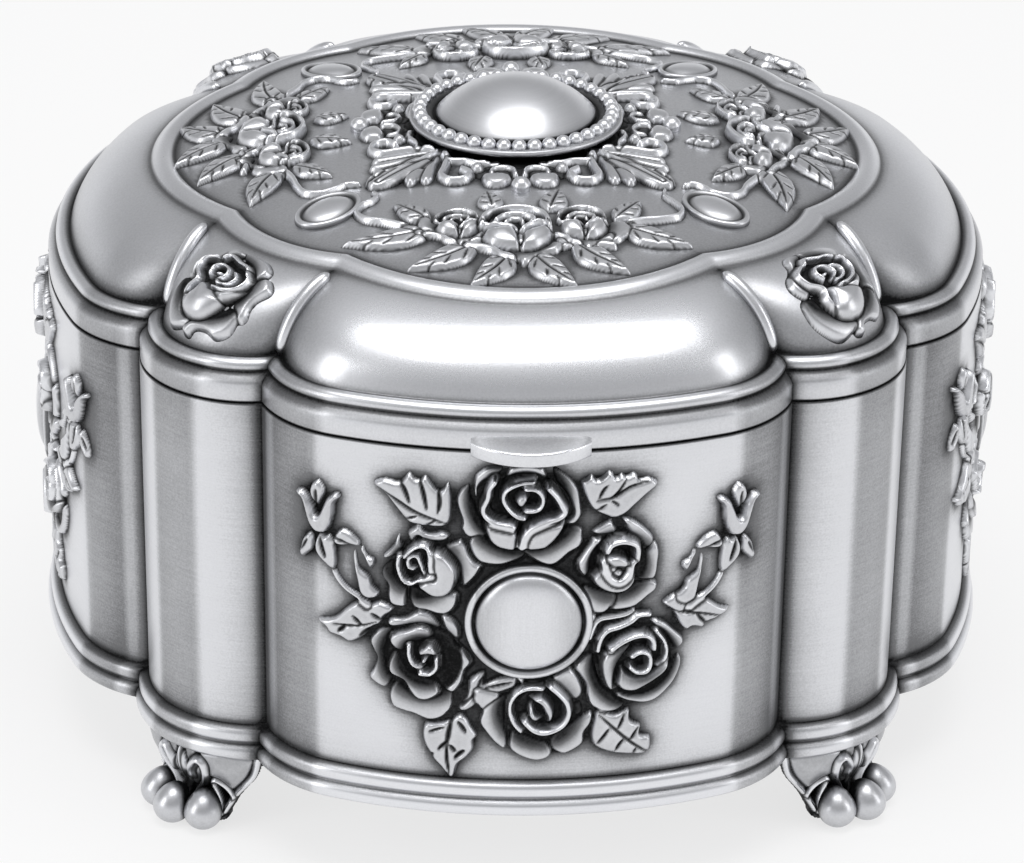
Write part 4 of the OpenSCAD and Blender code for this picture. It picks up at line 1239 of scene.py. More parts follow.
def upper_right_rose() -> list[Piece]:
    """Rose at the upper right: a round cup with a bead in its mouth."""
    heart = (10.3, 33.3)
    return [
        Petal(((7.1, 38.3), (9.3, 39.6), (9.9, 39.1), (10.2, 37.9), (9, 37.6), (7.8, 37.7)), 0.9, 0.3,
            heart=heart),
        Petal(((10.7, 39.6), (11.8, 39.7), (13, 38.9), (14.1, 37.8), (14.8, 36.8), (14.7, 35.9),
            (13.9, 35.4), (12.7, 36), (11.7, 37.4)), 1.0, 0.5, heart=heart),
        Petal(((14.9, 36.3), (15.5, 35), (15.4, 33.2), (15.2, 31.7), (14.6, 31.1), (12.8, 31.3),
            (13.1, 33.1), (13.3, 34.6), (14.1, 35.4)), 1.0, 0.6, heart=heart),
        Petal(((15.1, 31.1), (15.3, 29.9), (14.3, 29), (12.4, 27.7), (9.7, 27.6), (10, 29.2),
            (11.2, 30), (12.8, 31)), 1.0, 0.6, heart=heart),
        Petal(((6.3, 30.8), (8.1, 30.5), (10.3, 29.6), (9.9, 28.2), (8.8, 27.2), (7.3, 27.5),
            (6.8, 29)), 0.95, 0.5, heart=heart),
        Petal(((7.4, 37.4), (9.2, 36.9), (8.6, 35.4), (7.7, 34), (6.7, 32.3), (5.8, 32.8), (5.5, 34.1),
            (6.1, 35.2), (6.9, 36.5)), 1.1, 0.7, heart=heart),
        hollow(10.4, 34, 3.4, 3.6, 0.9),
        Petal(((8.3, 35.3), (7.9, 33.6), (7, 32.5), (7.8, 31.1), (9.5, 30.2), (11.2, 30.3),
            (12.4, 31.6), (12.4, 33.2), (12.2, 34.3), (10.8, 35.2), (9.5, 35.5)), 1.8, 0.0, 0.3),
        Lip(((8.9, 35.9), (9.4, 36.8), (10.7, 37.1), (12.1, 36.6), (12.5, 35.8), (12.4, 34.4)), 1.29,
            2.05),
        Cut(((10.3, 33.5), (10.9, 32.3)), 3.6),
        Lip(((8.4, 34.6), (8.8, 33.2), (9.7, 32), (10.7, 31.8), (11.6, 32.8), (11.9, 34.1)), 1.14, 2.0),
        Petal(((8.9, 34.6), (9.2, 35.4), (10.3, 35.5), (11.3, 34.9), (11.5, 33.9), (10.2, 33.8)), 2.0,
            0.0, 0.3),
        Petal(((9.6, 33), (10.2, 33.4), (10.8, 32.9), (10.3, 32.3)), 1.8, 0.0, 0.2),
    ]


def lower_left_rose() -> list[Piece]:
    """Rose at the lower left: an open coil inside wavy petals."""
    heart = (-12.1, 20.9)
    return [
        Petal(((-16.9, 25.2), (-16.4, 26), (-14.7, 26.3), (-13.2, 27.3), (-11.9, 27.1), (-10.9, 26.2),
            (-10.3, 25.2), (-11.2, 24.6), (-12.6, 25.2), (-13.6, 25.1), (-14.9, 24.8), (-16.3, 24.6)),
            1.0, 0.6, heart=heart),
        Petal(((-17.6, 24.4), (-16.2, 24.5), (-16.1, 23.2), (-16.5, 21.7), (-16.5, 20), (-16.2, 18.1),
            (-16.7, 16.3), (-17.9, 16.5), (-19.1, 17.6), (-18.6, 18.7), (-18.2, 20.1), (-18.6, 21.2),
            (-19, 22.4), (-18.6, 23.5)), 1.05, 0.7, heart=heart),
        Petal(((-9.0, 23.2), (-7.4, 22.2), (-6.6, 20.8), (-7.5, 19.4), (-7.8, 17.8), (-8.9, 16.4),
            (-10.4, 17.2), (-11.4, 18.6), (-9.6, 20.4)), 1.05, 0.45, heart=heart),
        Petal(((-15.7, 17.4), (-16.6, 15.7), (-16.2, 14), (-14.9, 13.4), (-13.5, 13.1), (-11.7, 12.5),
            (-10, 13), (-8.9, 14.3), (-8.7, 15.6), (-9, 16.6), (-10.4, 17.1), (-12.9, 17.5),
            (-14.3, 17.7)), 1.1, 0.8, heart=heart),
        Petal(((-10.8, 24.5), (-9.9, 24.8), (-9, 24.2), (-8.6, 23.1), (-8.8, 21.8), (-8.7, 20.3),
            (-9.2, 19.6), (-9.7, 20.3), (-10, 21.7), (-10.3, 23.2)), 1.3, 0.5, heart=heart),
        hollow(-12.4, 20.9, 4.6, 4.6, 0.9),
        Petal(((-15.8, 21.4), (-16.6, 19.9), (-16.4, 18.5), (-14.8, 17.6), (-14.1, 16.5), (-13.1, 15.5),
            (-11.8, 15.4), (-10.4, 16.3), (-10.4, 17.2), (-11.1, 18.3), (-12.5, 18.6), (-14, 19.3),
            (-14.8, 20.5)), 1.5, 0.8, heart=heart),
        Petal(((-16.5, 23.1), (-16.1, 24.1), (-14.5, 24.7), (-13.4, 25.3), (-12.3, 25.4), (-11.5, 24.8),
            (-11.3, 23.9), (-12.3, 23.1), (-13.8, 22.7), (-14.5, 21.8), (-15.3, 21.6), (-16.1, 22.2)),
            1.5, 0.7, heart=heart),
        Lip(((-14, 22.7), (-14, 21.3), (-13.5, 20.2), (-12.5, 19.8)), 0.8, 1.9),
        Lip(((-10.7, 21.3), (-10.7, 20.2), (-11.4, 19.3), (-12.7, 19.2)), 0.99, 2.0),
        Petal(((-13, 22.1), (-12.3, 23.2), (-11.5, 23.6), (-10.8, 23.2), (-10.3, 21.8), (-11.6, 21.9),
            (-12.6, 21.6)), 2.0, 0.0, 0.25),
        Petal(((-12.7, 20.8), (-12.2, 21.5), (-11.7, 21.5), (-11.8, 20.7), (-12.3, 20.3)), 1.9, 0.0,
            0.2),
    ]


def lower_right_rose() -> list[Piece]:
    """Rose at the lower right: crescents round an oval ring."""
    heart = (13.3, 20.3)
    return [
        Lip(((12.5, 27.1), (11.4, 26.7), (9.7, 26.5), (8.4, 26.3), (7.6, 25.2), (7.2, 23.8)), 0.81, 0.9),
        Lip(((14.4, 26.6), (13, 26.6), (12.1, 25.9), (10.7, 25.3), (9.3, 24.9), (8.5, 23.8),
            (8.2, 22.3)), 1.08, 1.2),
        Petal(((14.5, 25.6), (15, 25.9), (16.3, 25.5), (17.5, 24.3), (18.7, 23), (18.8, 22),
            (17.8, 21.1), (17, 22.2), (16.2, 23.8), (15.2, 24.6)), 1.1, 0.6, heart=heart),
        Petal(((18.2, 20.8), (18.7, 19.5), (18, 17.3), (16.6, 15.6), (15.1, 14.6), (13.3, 14.5),
            (11, 15.4), (10.7, 16.1), (13, 16.5), (15.4, 17.5), (17.2, 19.5)), 1.1, 0.8, heart=heart),
        Petal(((7.6, 21.8), (5.9, 21.1), (5.5, 20), (6.1, 19), (6.9, 17.5), (7, 15.6), (7.7, 14.5),
            (9.1, 13.8), (10.6, 13.7), (11.8, 14.6), (10.5, 15.9), (9.3, 17.1), (8.5, 18.6),
            (7.8, 20.6)), 1.1, 0.7, heart=heart),
        hollow(13, 20.4, 4.6, 4.6, 0.9),
        Lip(((15.2, 24.3), (16.2, 22.8), (16.5, 21.4), (16.2, 20.2), (15.4, 19.6)), 0.84, 1.6),
        Petal(((9.5, 22.6), (12.2, 22.9), (11.5, 21.7), (10.7, 20.4), (10.3, 19.1), (10.2, 17.8),
            (10.4, 17.1), (11.2, 16.6), (9.6, 17), (8.9, 18), (8.5, 19.5), (8.4, 20.9), (8.8, 22)), 1.8,
            0.5, 0.15, heart=heart),
        Petal(((10.9, 20), (10.5, 18.8), (10.4, 17.7), (11.1, 16.9), (12.4, 16.6), (13.5, 16.9),
            (15.2, 17.8), (16.5, 18.9), (17, 20.2), (16.2, 20), (15.1, 19.3), (13.9, 18.7),
            (12.7, 18.8), (11.7, 19.4)), 1.8, 0.3, 0.15, heart=heart),
        Lip(((9.7, 22.7), (11, 23.6), (12.5, 24.2), (13.9, 24.1), (14.7, 23.2), (14.8, 22.2)), 1.16,
            1.9),
        Lip(((12.1, 21.5), (13.1, 22), (14.2, 21.5), (14.4, 20.2), (13.9, 19.3), (12.8, 19.3),
            (12, 20)), 1.05, 2.0),
    ]


def bottom_rose() -> list[Piece]:
    """Rose under the cabochon: two crescents in a thick ring."""
    heart = (1.6, 14.3)
    return [
        Petal(((-2.4, 16.7), (-4.1, 15.6), (-5.3, 14.3), (-5.8, 12.7), (-4.9, 11.1), (-3.8, 9.7),
            (-2.5, 8.9), (-2.3, 10.7), (-2.7, 11.9), (-2.6, 13.2), (-2.5, 14.6), (-2.1, 15.9)), 1.0,
            0.7, heart=heart),
        Petal(((7.8, 14.1), (7.8, 12.5), (7, 11.1), (6.9, 9.8), (5.8, 8.8), (4.2, 8.2), (2.7, 9.4),
            (3.2, 11), (5.1, 12.4), (6.6, 13.5)), 1.05, 0.6, heart=heart),
        Petal(((-1.7, 11.5), (-2.1, 10.6), (-2.1, 9.2), (-1, 8.1), (0.8, 7.4), (2.3, 7.6), (3.1, 8.4),
            (2.5, 9.8), (1, 10.4), (-0.5, 11.2)), 1.1, 0.6, heart=heart),
        Lip(((-0.9, 18.7), (-0.6, 18.1), (-0.4, 17.3)), 0.63, 1.0),
        hollow(1.5, 14.2, 3.6, 3.4, 1),
        Lip(((1.8, 17.6), (0.5, 17.7), (-0.5, 17.5), (-1.4, 16.8), (-2, 15.6), (-2, 14.2), (-1.5, 12.8),
            (-0.7, 11.8)), 1.0, 1.6),
        Lip(((2.7, 18), (3.7, 17), (4.6, 15.7), (4.8, 14.3), (4.3, 13), (3.3, 12.2), (1.9, 11.8),
            (0.7, 12.2), (-0.3, 13.3)), 1.26, 1.95),
        Petal(((0.2, 16.3), (1.4, 16.9), (2.4, 16.4), (3.1, 15.2), (3.2, 14), (2.7, 12.9), (2.3, 12.8),
            (2.2, 13.7), (1.8, 14.7), (1.3, 15.6)), 1.9, 0.0, 0.2),
        Petal(((0.4, 15.6), (-0, 14.6), (0.3, 13.5), (1.2, 13.2), (2, 13.5), (1.2, 14.1), (0.8, 14.9)),
            1.8, 0.0, 0.2),
    ]


def top_rose() -> list[Piece]:
    """Rose over the cabochon: a cup of two full petals round a ring."""
    heart = (-0.8, 42.7)
    return [
        Petal(((-6.4, 42.3), (-6.7, 44), (-6.6, 45.4), (-6, 46.2), (-4.8, 46.9), (-3.2, 46.9),
            (-3.3, 45.9), (-4.3, 45.2), (-5.2, 44.9), (-5.9, 44)), 0.95, 0.5, heart=heart),
        Petal(((-2.3, 47), (1.3, 47), (2.1, 44.5), (0.4, 44.9), (-1.4, 44.8), (-3.2, 44.3)), 0.8, 0.5,
            heart=heart),
        Petal(((2.5, 46.9), (4.3, 45.7), (5.6, 44), (6, 42), (6.1, 40.4), (5.2, 39.2), (4.1, 39.4),
            (4.8, 40.9), (4.1, 43), (2.7, 44.7)), 1.0, 0.8, heart=heart),
        Petal(((-7, 44.5), (-8.3, 43.6), (-8.7, 42.2), (-8.4, 40.8), (-8, 39.5), (-8.1, 38.5),
            (-7.2, 37.4), (-5.1, 37.1), (-5.2, 39.4), (-6.2, 41.4), (-6.8, 43.2)), 1.0, 0.8,
            heart=heart),
        Petal(((-7.1, 37.2), (-6.8, 35.5), (-5.9, 34.3), (-4.5, 33.9), (-2.8, 34), (-0.6, 35.1),
            (-0.8, 36.4), (-3.5, 36.8), (-5.6, 37.8)), 0.95, 0.7, heart=heart),
        Petal(((6.1, 38.9), (6.3, 37.5), (5.9, 36.3), (4.7, 35.5), (3.3, 34.2), (2.1, 33.9),
            (0.5, 34.6), (-0.8, 35.9), (1, 36.6), (3.3, 38.4), (4.4, 39.1)), 1.0, 0.7, heart=heart),
        hollow(-0.6, 42.4, 4.3, 3.6, 1.1),
        Petal(((-5.2, 39.9), (-5, 38.1), (-4.2, 37), (-3.1, 36.5), (-1.4, 36.5), (-1.4, 39),
            (-1.9, 40.3), (-3.6, 40.2)), 2.0, 0.0, 0.35),
        Petal(((-0.8, 39.2), (0.9, 40.3), (3.1, 40.2), (4.1, 40.2), (3.7, 38.8), (2.5, 37.2),
            (1.3, 36.5), (-1.4, 36.5), (-1.3, 37.9)), 2.0, 0.0, 0.35),
        Lip(((-4.1, 45.3), (-4.7, 44.4), (-4.9, 43.1), (-5.4, 41.8), (-5.1, 40.8), (-4.2, 40.1),
            (-3.1, 39.8), (-1.9, 39.5)), 1.24, 2.1),
        Lip(((2.1, 44.5), (2.9, 43.5), (3.5, 42.4), (3.9, 41.4), (3.2, 40.7), (2, 40.3), (0.7, 39.7),
            (-0.2, 39.1), (-0.8, 38), (-1, 36.9)), 1.31, 2.15),
        Lip(((0.3, 45.3), (-1.4, 45.1), (-2.8, 44.2), (-3.1, 43), (-2.5, 41.8), (-1.6, 40.9),
            (-0.7, 40.6)), 1.07, 2.1),
        Lip(((-0.6, 44.4), (0.4, 44.4), (1.2, 43.7), (1.4, 42.8), (1, 41.9), (0.2, 41.6), (-0.6, 41.6)),
            1.07, 2.1),
        Petal(((-1.8, 43.4), (-1.2, 43.9), (-0.4, 43.8), (-0.1, 43.2), (-0.6, 42.2), (-1, 41.9),
            (-1.7, 42.3), (-1.9, 42.9)), 2.0, 0.0, 0.2),
    ]


def bud() -> list[Piece]:
    """Half-open bud at the left of the front spray, with its sepals and its stem."""
    return [
        Lip(((-23.7, 31.7), (-22.9, 30.1), (-21.8, 28.9), (-20.3, 28), (-19.2, 27.2)), 1.04, 0.75),
        Petal(((-26.5, 35.6), (-27.6, 34.4), (-28.1, 32.6), (-27.6, 31.6), (-27, 32.1), (-26.1, 33.2),
            (-25.9, 34.9)), 0.8),
        Cut(((-26.7, 34.6), (-27.6, 33)), 0.52),
        Petal(((-22.5, 37), (-21, 36.5), (-19.9, 35.4), (-20.1, 34.6), (-20.9, 34.7), (-22.8, 34.4),
            (-23.7, 35), (-23.2, 36.2)), 0.85),
        Cut(((-23.5, 35.6), (-22.3, 35.3), (-21, 34.8)), 0.45),
        Petal(((-25.3, 35.7), (-25.9, 34.2), (-25.6, 32.8), (-24, 31.4), (-23, 31.6), (-23, 33.5),
            (-23.3, 34.8), (-23.9, 35.9), (-24.6, 35.6)), 0.9),
        Cut(((-25, 35.3), (-24.8, 34.1), (-24.3, 32.7)), 0.69),
        Petal(((-25.5, 42.8), (-26.3, 42), (-26.5, 40.8), (-26, 39.5), (-25.6, 38.5), (-25, 39.5),
            (-24.3, 41), (-24.4, 41.9), (-24.9, 42.6)), 0.9),
        Cut(((-25.5, 41.5), (-25.5, 40.1), (-25.7, 38.3)), 0.55),
        Petal(((-28.2, 41), (-27.2, 40.9), (-26.1, 39.8), (-25.4, 38.2), (-24.7, 39.7), (-24.1, 40.9),
            (-23.1, 41.6), (-22.3, 41.1), (-23, 40), (-23.2, 38.2), (-23.8, 36.4), (-24.7, 35.8),
            (-25.7, 36), (-26.5, 37), (-27, 38.6), (-27.4, 39.8), (-28.3, 40.4)), 1.3, 0, 0.1),
        Petal(((-20.6, 34.5), (-20.4, 33.3), (-20.1, 32.1), (-18.8, 31.1), (-18.5, 30.1), (-17.6, 29.1),
            (-17.9, 28.3), (-19.1, 27.9), (-20.2, 28.6), (-20.7, 30.6), (-21, 32.3), (-21.1, 33.8)),
            0.9),
        Petal(((-19.7, 35), (-19.1, 33.9), (-18.2, 33.5), (-18.1, 32.7), (-18.5, 32), (-18, 30.8),
            (-17.2, 29.7), (-18, 30.1), (-19.1, 32.1), (-19.7, 33.4), (-20.2, 34.4)), 0.9),
    ]


@dataclass
class RoseSprays(Quartet):
    """The four sprays of six roses round the cabochons, all from one pattern."""

    stem = "cast_spray"
    node = "rose_spray"
    step: float = 0.18
    back: float = -0.75
    grounds: tuple[tuple[float, float, float, float], ...] = (
        (-1.2, 40.4, 6.0, 5.2), (-11.6, 32.4, 5.2, 5.2), (10.0, 33.4, 5.2, 5.4), (-12.4, 20.0, 5.2, 5.6),
        (12.0, 20.6, 5.4, 5.6), (0.8, 13.6, 6.2, 5.4), (0.0, 26.5, 13.0, 12.5),
    )

    def __post_init__(self) -> None:
        """Paints the spray of the front panel, which also darkens the wall round it."""
        buds = bud()
        pieces = [Petal(oval(*ground), 0.2, tone=0.88) for ground in self.grounds]
        pieces += [*spray_leaves(), *buds, *placed(buds, 0.0, -0.5, -1.0, 1.0)]
        low = (bottom_rose, lower_left_rose, lower_right_rose)
        for rose in (*low, upper_right_rose, upper_left_rose, top_rose):
            pieces += rose()
        self.canvas = Canvas((-33.0, 0.5), (33.0, 50.0), self.step)
        paint_all(self.canvas, pieces)

    def first(self, name: str) -> Object:
        """Casts the front spray."""
        return self.canvas.cast(name, PLAN.on_panel, self.back)


@dataclass
class Cabochons(Quartet):
    """Smooth cabochon in a raised rim, in the middle of each spray."""

    stem = "turned_cabochon"
    node = "cabochon"
    look = Look.CAMEO
    r: float = 7.6
    h: float = 2.45
    z: float = 26.5
    back: float = -0.75
    rim: float = 1.25
    base: float = 0.5
    dome_steps: int = 14
    round_steps: int = 96

    def first(self, name: str) -> Object:
        """Turns the front cabochon, darkens its flanks with painted shade that leaves a painted highlight
        down its middle, and sets it on its panel.
        """
        r, inner = self.r, self.r - self.rim
        profile = [(r, self.back), (r, 0.75), (r - 0.12, 1.0), (r - 0.45, 1.14), (r - 0.78, 1.0)]
        profile += [(r - 0.92, 0.62), (r - 1.05, 0.45), (inner, self.base)]
        dark = [1.0, 0.6, 0.22, 0.08, 0.22, 0.7, 0.95, 0.8]
        for k in range(1, self.dome_steps + 1):
            a = math.radians(90 * k / self.dome_steps)
            out = inner * math.cos(a) ** 0.9 if k < self.dome_steps else 0.0
            profile.append((out, self.base + (self.h - self.base) * math.sin(a) ** 0.85))
            dark.append(0.5 * math.exp(-k / 1.1) + 0.1)
        profile += [(0.0, self.back), (r, self.back)]
        front = lathe(name, profile, self.round_steps, dark + [1.0, 1.0])
        aside = np.abs(coordinates(front.data)[:, 0]) / (inner * MM)
        values = np.empty(len(aside), np.float32)
        front.data.attributes["patina_and_painted_light"].data.foreach_get("value", values)
        # Painted highlight: darker towards the left and right flanks of the cabochon, so that an upright
        # light band runs down its middle.
        patina_and_painted_light_layer(front.data, values + 0.22 * eased((aside - 0.25) / 0.75) * (aside < 1.0))
        seat = Matrix.Translation((0, -PLAN.half_width * MM, (FOOT_H + self.z) * MM))
        return moved(front, seat @ Matrix.Rotation(math.radians(90), 4, "X"))


def bead(centre: float, z0: float, z1: float, bulge: float, steps: int = 7) -> list[Point2]:
    """Profile of a rounded bead, as offsets outwards and heights, from z0 up to z1."""
    out = []
    for k in range(steps):
        t = -1 + 2 * k / (steps - 1)
        out.append((centre + bulge * math.sqrt(max(1 - t * t, 0.0)), (z0 + z1) / 2 + (z1 - z0) / 2 * t))
    return out


@dataclass
class BodyWall(SubAssembly):
    """Wall ring of the body, with its grooved columns and base moulding."""

    spray: Canvas
    height: float = 48.5
    thickness: float = 1.6
    moulding: float = 4.5
    cuts: Point2 = (2.27, 4.45)
    inside_tone: float = 0.45
    rows: int = 74

    def build(self) -> list[Object]:
        """Lays the wall, darkened round the relief and along the grooves, with painted reflection bands on
        the panels and the columns.
        """
        along, near, _ = PLAN.ways()
        halo = self.spray.halo()
        levels = [(-0.9, 0.0), (0.6, 0.0)] + bead(0.95, 0.05, 2.2, 0.8) + bead(0.72, 2.35, 4.35, 0.6)
        levels += [(0.0, self.moulding)]
        levels += [(0.0, float(z)) for z in np.linspace(4.8, self.height - 0.35, self.rows)]
        levels += [(-0.1, self.height - 0.08), (-0.35, self.height), (-1.35, self.height)]
        levels += [(-self.thickness, z) for z in (self.height - 0.3, 3.0, 0.0)] + [(-0.9, 0.0)]
        points, dark = [], []
        for offset, z in levels:
            points.append(level(PLAN.ring(offset), z + FOOT_H))
            shade = self.spray.sample(halo, along, np.full(len(along), z))
            dark.append(self._tone(offset, z, near, shade))
        return [draped("wall_ring", np.array(points), np.array(dark))]

    def _tone(self, offset: float, z: float, near: Array, shade: Array) -> Array:
        """Patina and painted reflection bands of one level of the wall.

        Args:
            offset: How far out the level is.
            z: Its height.
            near: Distance of each station to its groove line.
            shade: Darkness of each station from the relief beside it.

        Returns:
            The patina at each station.
        """
        if offset < -1.3:
            return np.full(len(near), self.inside_tone)
        # Dark along the groove lines: the narrow term is patina in the groove, the wider term a painted
        # reflection band that greys the wall beside it.
        groove = 0.75 * np.exp(-near / 0.55) + 0.3 * np.exp(-near / 2.6)
        # Painted reflections: darker where the wall turns away from its side, which greys the columns, and a
        # faint grey band near each groove.
        tone = 0.16 + groove + 0.27 * eased((PLAN.turn() - 27.0) / 7.0) + 0.12 * np.exp(-near / 6.0)
        up = z - self.moulding
        if up < 0.0:
            gap = min(abs(z - cut) for cut in self.cuts)
            return tone + 0.75 * math.exp(-gap / 0.13) - 0.06
        tone = tone + 0.7 * math.exp(-up / 0.3) + 0.14 * math.exp(-up / 3.0)
        tone = tone + 0.06 * math.exp(-(self.height - z) / 4.0) + 0.9 * (z > self.height - 0.2)
        return tone + 0.8 * shade

    def seats(self) -> list[Seat]:
        """Seat of the wall."""
        return [Seat(Look.WALL, Body.BOX, "body_shell")]


# ---------------------------------------------------------------- feet


def foot_relief() -> list[Piece]:
    """Shield of a foot: rolled rims that end in loops, a scroll on each side of the ridge, a black ankle."""
    half: list[Piece] = [
        Petal(((0.6, -6.2), (2.2, -5.9), (4.3, -5.2), (5.0, -7.0), (5.8, -9.6), (3.0, -10.4),
            (0.6, -10.0)), 0.15, tone=0.95),
        Petal(((3.3, -0.5), (4.1, -2.4), (4.0, -4.3), (5.6, -4.4), (7.2, -6.0), (8.8, -4.5),
            (10.0, -2.5), (10.5, -0.3)), 0.45, 0.0, 0.4, tone=0.4),
        Petal(((0.7, -0.4), (2.2, -0.5), (2.9, -2.6), (2.9, -4.6), (1.8, -6.5), (0.8, -6.0),
            (1.1, -3.4)), 0.5, tone=0.55),
        Lip(((11.0, 0.0), (10.4, -2.8), (9.1, -4.8), (7.6, -6.7), (6.1, -9.0)), 1.0, 0.95),
        Lip(((7.3, -6.9), (6.4, -5.5), (5.3, -4.6), (4.6, -4.9), (4.6, -5.8), (5.1, -6.9), (5.5, -8.0),
            (5.7, -9.3)), 0.85, 1.05),
        Cut(((5.4, -5.8), (5.9, -6.5), (6.3, -7.6)), 0.95, 0.7),
        Lip(((1.4, -4.7), (1.6, -3.4), (2.7, -1.9), (3.6, -2.2), (3.8, -3.6), (3.2, -5.4), (1.7, -7.4)),
            1.45, 1.15, 0.75),
    ]
    rim = ((11.4, 0.4), (11.0, -2.8), (9.7, -5.0), (8.3, -6.9), (6.9, -8.6), (6.2, -10.2), (3.0, -10.6))
    shield = Petal(((0.0, 0.5), *rim, (0.0, -10.6), *((-u, v) for u, v in reversed(rim))), 0.2, tone=0.5)
    ridge: list[Piece] = [
        Petal(((0.0, -0.6), (0.9, -2.4), (1.05, -4.2), (0.65, -6.2), (0.2, -8.6), (-0.2, -8.6),
            (-0.65, -6.2), (-1.05, -4.2), (-0.9, -2.4)), 0.75, 0.0, 0.5, tone=0.2),
        Lip(((0.0, -0.9), (0.0, -3.0), (0.0, -5.5), (0.0, -9.0)), 0.5, 1.4, 0.7),
    ]
    return [shield, *half, *placed(half, 0.0, 0.0, -1.0, 1.0), *ridge]


@dataclass
class Feet(Quartet):
    """Bracket feet under the four corners: a shield with scrolls on its knee, and three ball toes."""

    stem = "cast_foot"
    node = "foot"
    places = CORNERS
    step: float = 0.15
    back: float = -1.9
    toe_r: float = 2.45
    toes: tuple[Point2, ...] = ((15.6, 0.0), (14.6, 15.8), (14.6, -15.8))
    lug: tuple[Point2, ...] = ((3.0, 5.5), (4.2, 5.5), (4.2, 11.0), (1.6, 11.0), (1.6, 7.7), (3.0, 7.7))
    web_at: Point3 = (7.2, 0.0, 8.45)
    web_size: Point3 = (10.4, 2.4, 3.5)
    hidden_tone: float = 0.5

    def knee(self, u: Array, v: Array, h: Array) -> Array:
        """Points on the shield of the front right foot, u round it and v up from its top edge."""
        r = 13.6 - 1.35 * np.exp(-(((v + 6.9) / 2.6) ** 2)) + h
        a = u / 14 - math.pi / 4
        return np.stack([PLAN.column_c + r * np.cos(a), -PLAN.column_c + r * np.sin(a), FOOT_H + v], axis=-1)

    def toe(self, reach: float, turn: float) -> Object:
        """Ball toe that leans back to the ankle, black where it meets the ankle and the next toe, with
        painted shade on its lower half.

        Args:
            reach: Distance of its middle from the middle of the corner.
            turn: Degrees round the corner from the diagonal.

        Returns:
            The toe of the front right foot.
        """
        half = math.pi / 2
        b, a = np.meshgrid(np.linspace(-half, half, 21), np.linspace(0, math.tau, 37), indexing="ij")
        x, y, z = np.cos(b) * np.cos(a), np.cos(b) * np.sin(a), np.sin(b)
        up = np.clip(z, 0, None)
        x, y, z = x - 0.3 * up**2, y * (1 - 0.12 * up), np.where(z > 0, 1.15 * z, 0.96 * z)
        way = math.radians(turn)
        across = reach * math.sin(way) + self.toe_r * (y * math.cos(way) + x * math.sin(way))
        out = reach * math.cos(way) + self.toe_r * (x * math.cos(way) - y * math.sin(way))
        others = [(r, math.radians(t)) for r, t in self.toes if t != turn]
        beside = [np.hypot(out - r * math.cos(t), across - r * math.sin(t)) for r, t in others]
        dark = 0.85 * eased((2.9 - np.minimum(*beside)) / 0.9) + 0.85 * eased((0.15 - x) / 0.7)
        c = math.sqrt(0.5)
        points = np.stack([out * c + across * c, across * c - out * c, self.toe_r * (z + 0.961)], axis=-1)
        points[..., :2] += (PLAN.column_c, -PLAN.column_c)
        # The lower half of the toe is darker: painted shade.
        return draped("toe", points, 0.24 + dark + 0.16 * np.clip(-z, 0, 1))

    def first(self, name: str) -> Object:
        """Casts the front right foot with the lug that its screw goes through."""
        canvas = Canvas((-11.8, -10.8), (11.8, 0.1), self.step)
        paint_all(canvas, foot_relief())
        profile = [*self.lug, self.lug[0]]
        lug = lathe("lug", profile, 28, [self.hidden_tone] * len(profile))
        bm = bmesh.new()
        place = Matrix.Translation(Vector(self.web_at) * MM) @ Matrix.Diagonal((*self.web_size, 1.0))
        bmesh.ops.create_cube(bm, size=MM, matrix=place)
        web = piece_of("web", bm)
        patina_and_painted_light_layer(web.data, np.full(len(web.data.vertices), self.hidden_tone))
        corner = Matrix.Translation(Vector((PLAN.column_c, -PLAN.column_c, 0.0)) * MM)
        corner = corner @ Matrix.Rotation(-math.pi / 4, 4, "Z")
        parts = [canvas.cast("shield", self.knee, self.back), moved(lug, corner), moved(web, corner)]
        return joined(name, parts + [self.toe(*toe) for toe in self.toes])


# ---------------------------------------------------------------- lid


def shoulder(t: float) -> Point2:
    """How far in and how far up the shoulder of the dome is, a part t of the way from the rim."""
    low, high = math.radians(14), math.radians(78)
    a = low + (high - low) * t
    return (
        (math.cos(low) - math.cos(a)) / (math.cos(low) - math.cos(high)),
        (math.sin(a) - math.sin(low)) / (math.sin(high) - math.sin(low)),
    )


Row = tuple[Array, Array]

# Offset, height and patina of each point of the rim moulding, from the parting line up.
LID_RIM = (
    (-0.35, 0.0, 1.0), (-0.1, 0.2, 0.6), (-0.09, 0.35, 0.2), (-0.1, 1.0, 0.16), (-0.1, 2.3, 0.16),
    (-0.35, 2.7, 0.25), (-0.8, 3.15, 0.45), (-1.25, 3.5, 0.95), (-1.3, 3.7, 0.8), (-1.12, 4.0, 0.25),
    (-1.2, 4.4, 0.1), (-1.6, 4.8, 0.1), (-2.1, 4.98, 0.25), (-2.6, 4.9, 0.7), (-2.85, 4.78, 0.95),
)
# Share of the way out, height and patina of each point of the thumb tab's section.
TAB_SECTION = (
    (0.0, 0.1, 0.8), (0.5, -0.1, 0.8), (0.86, -0.45, 0.5), (0.95, -0.48, 0.25), (0.99, -0.42, 0.12),
    (1.0, -0.3, 0.12), (1.0, 0.4, 0.1), (1.0, 1.0, 0.08), (0.985, 1.13, 0.0), (0.94, 1.22, 0.02),
    (0.88, 1.28, 0.25), (0.5, 1.72, 0.42), (0.12, 2.12, 0.5), (0.04, 2.25, 0.85), (0.0, 2.3, 0.8),
    (0.0, 0.1, 0.8),
)


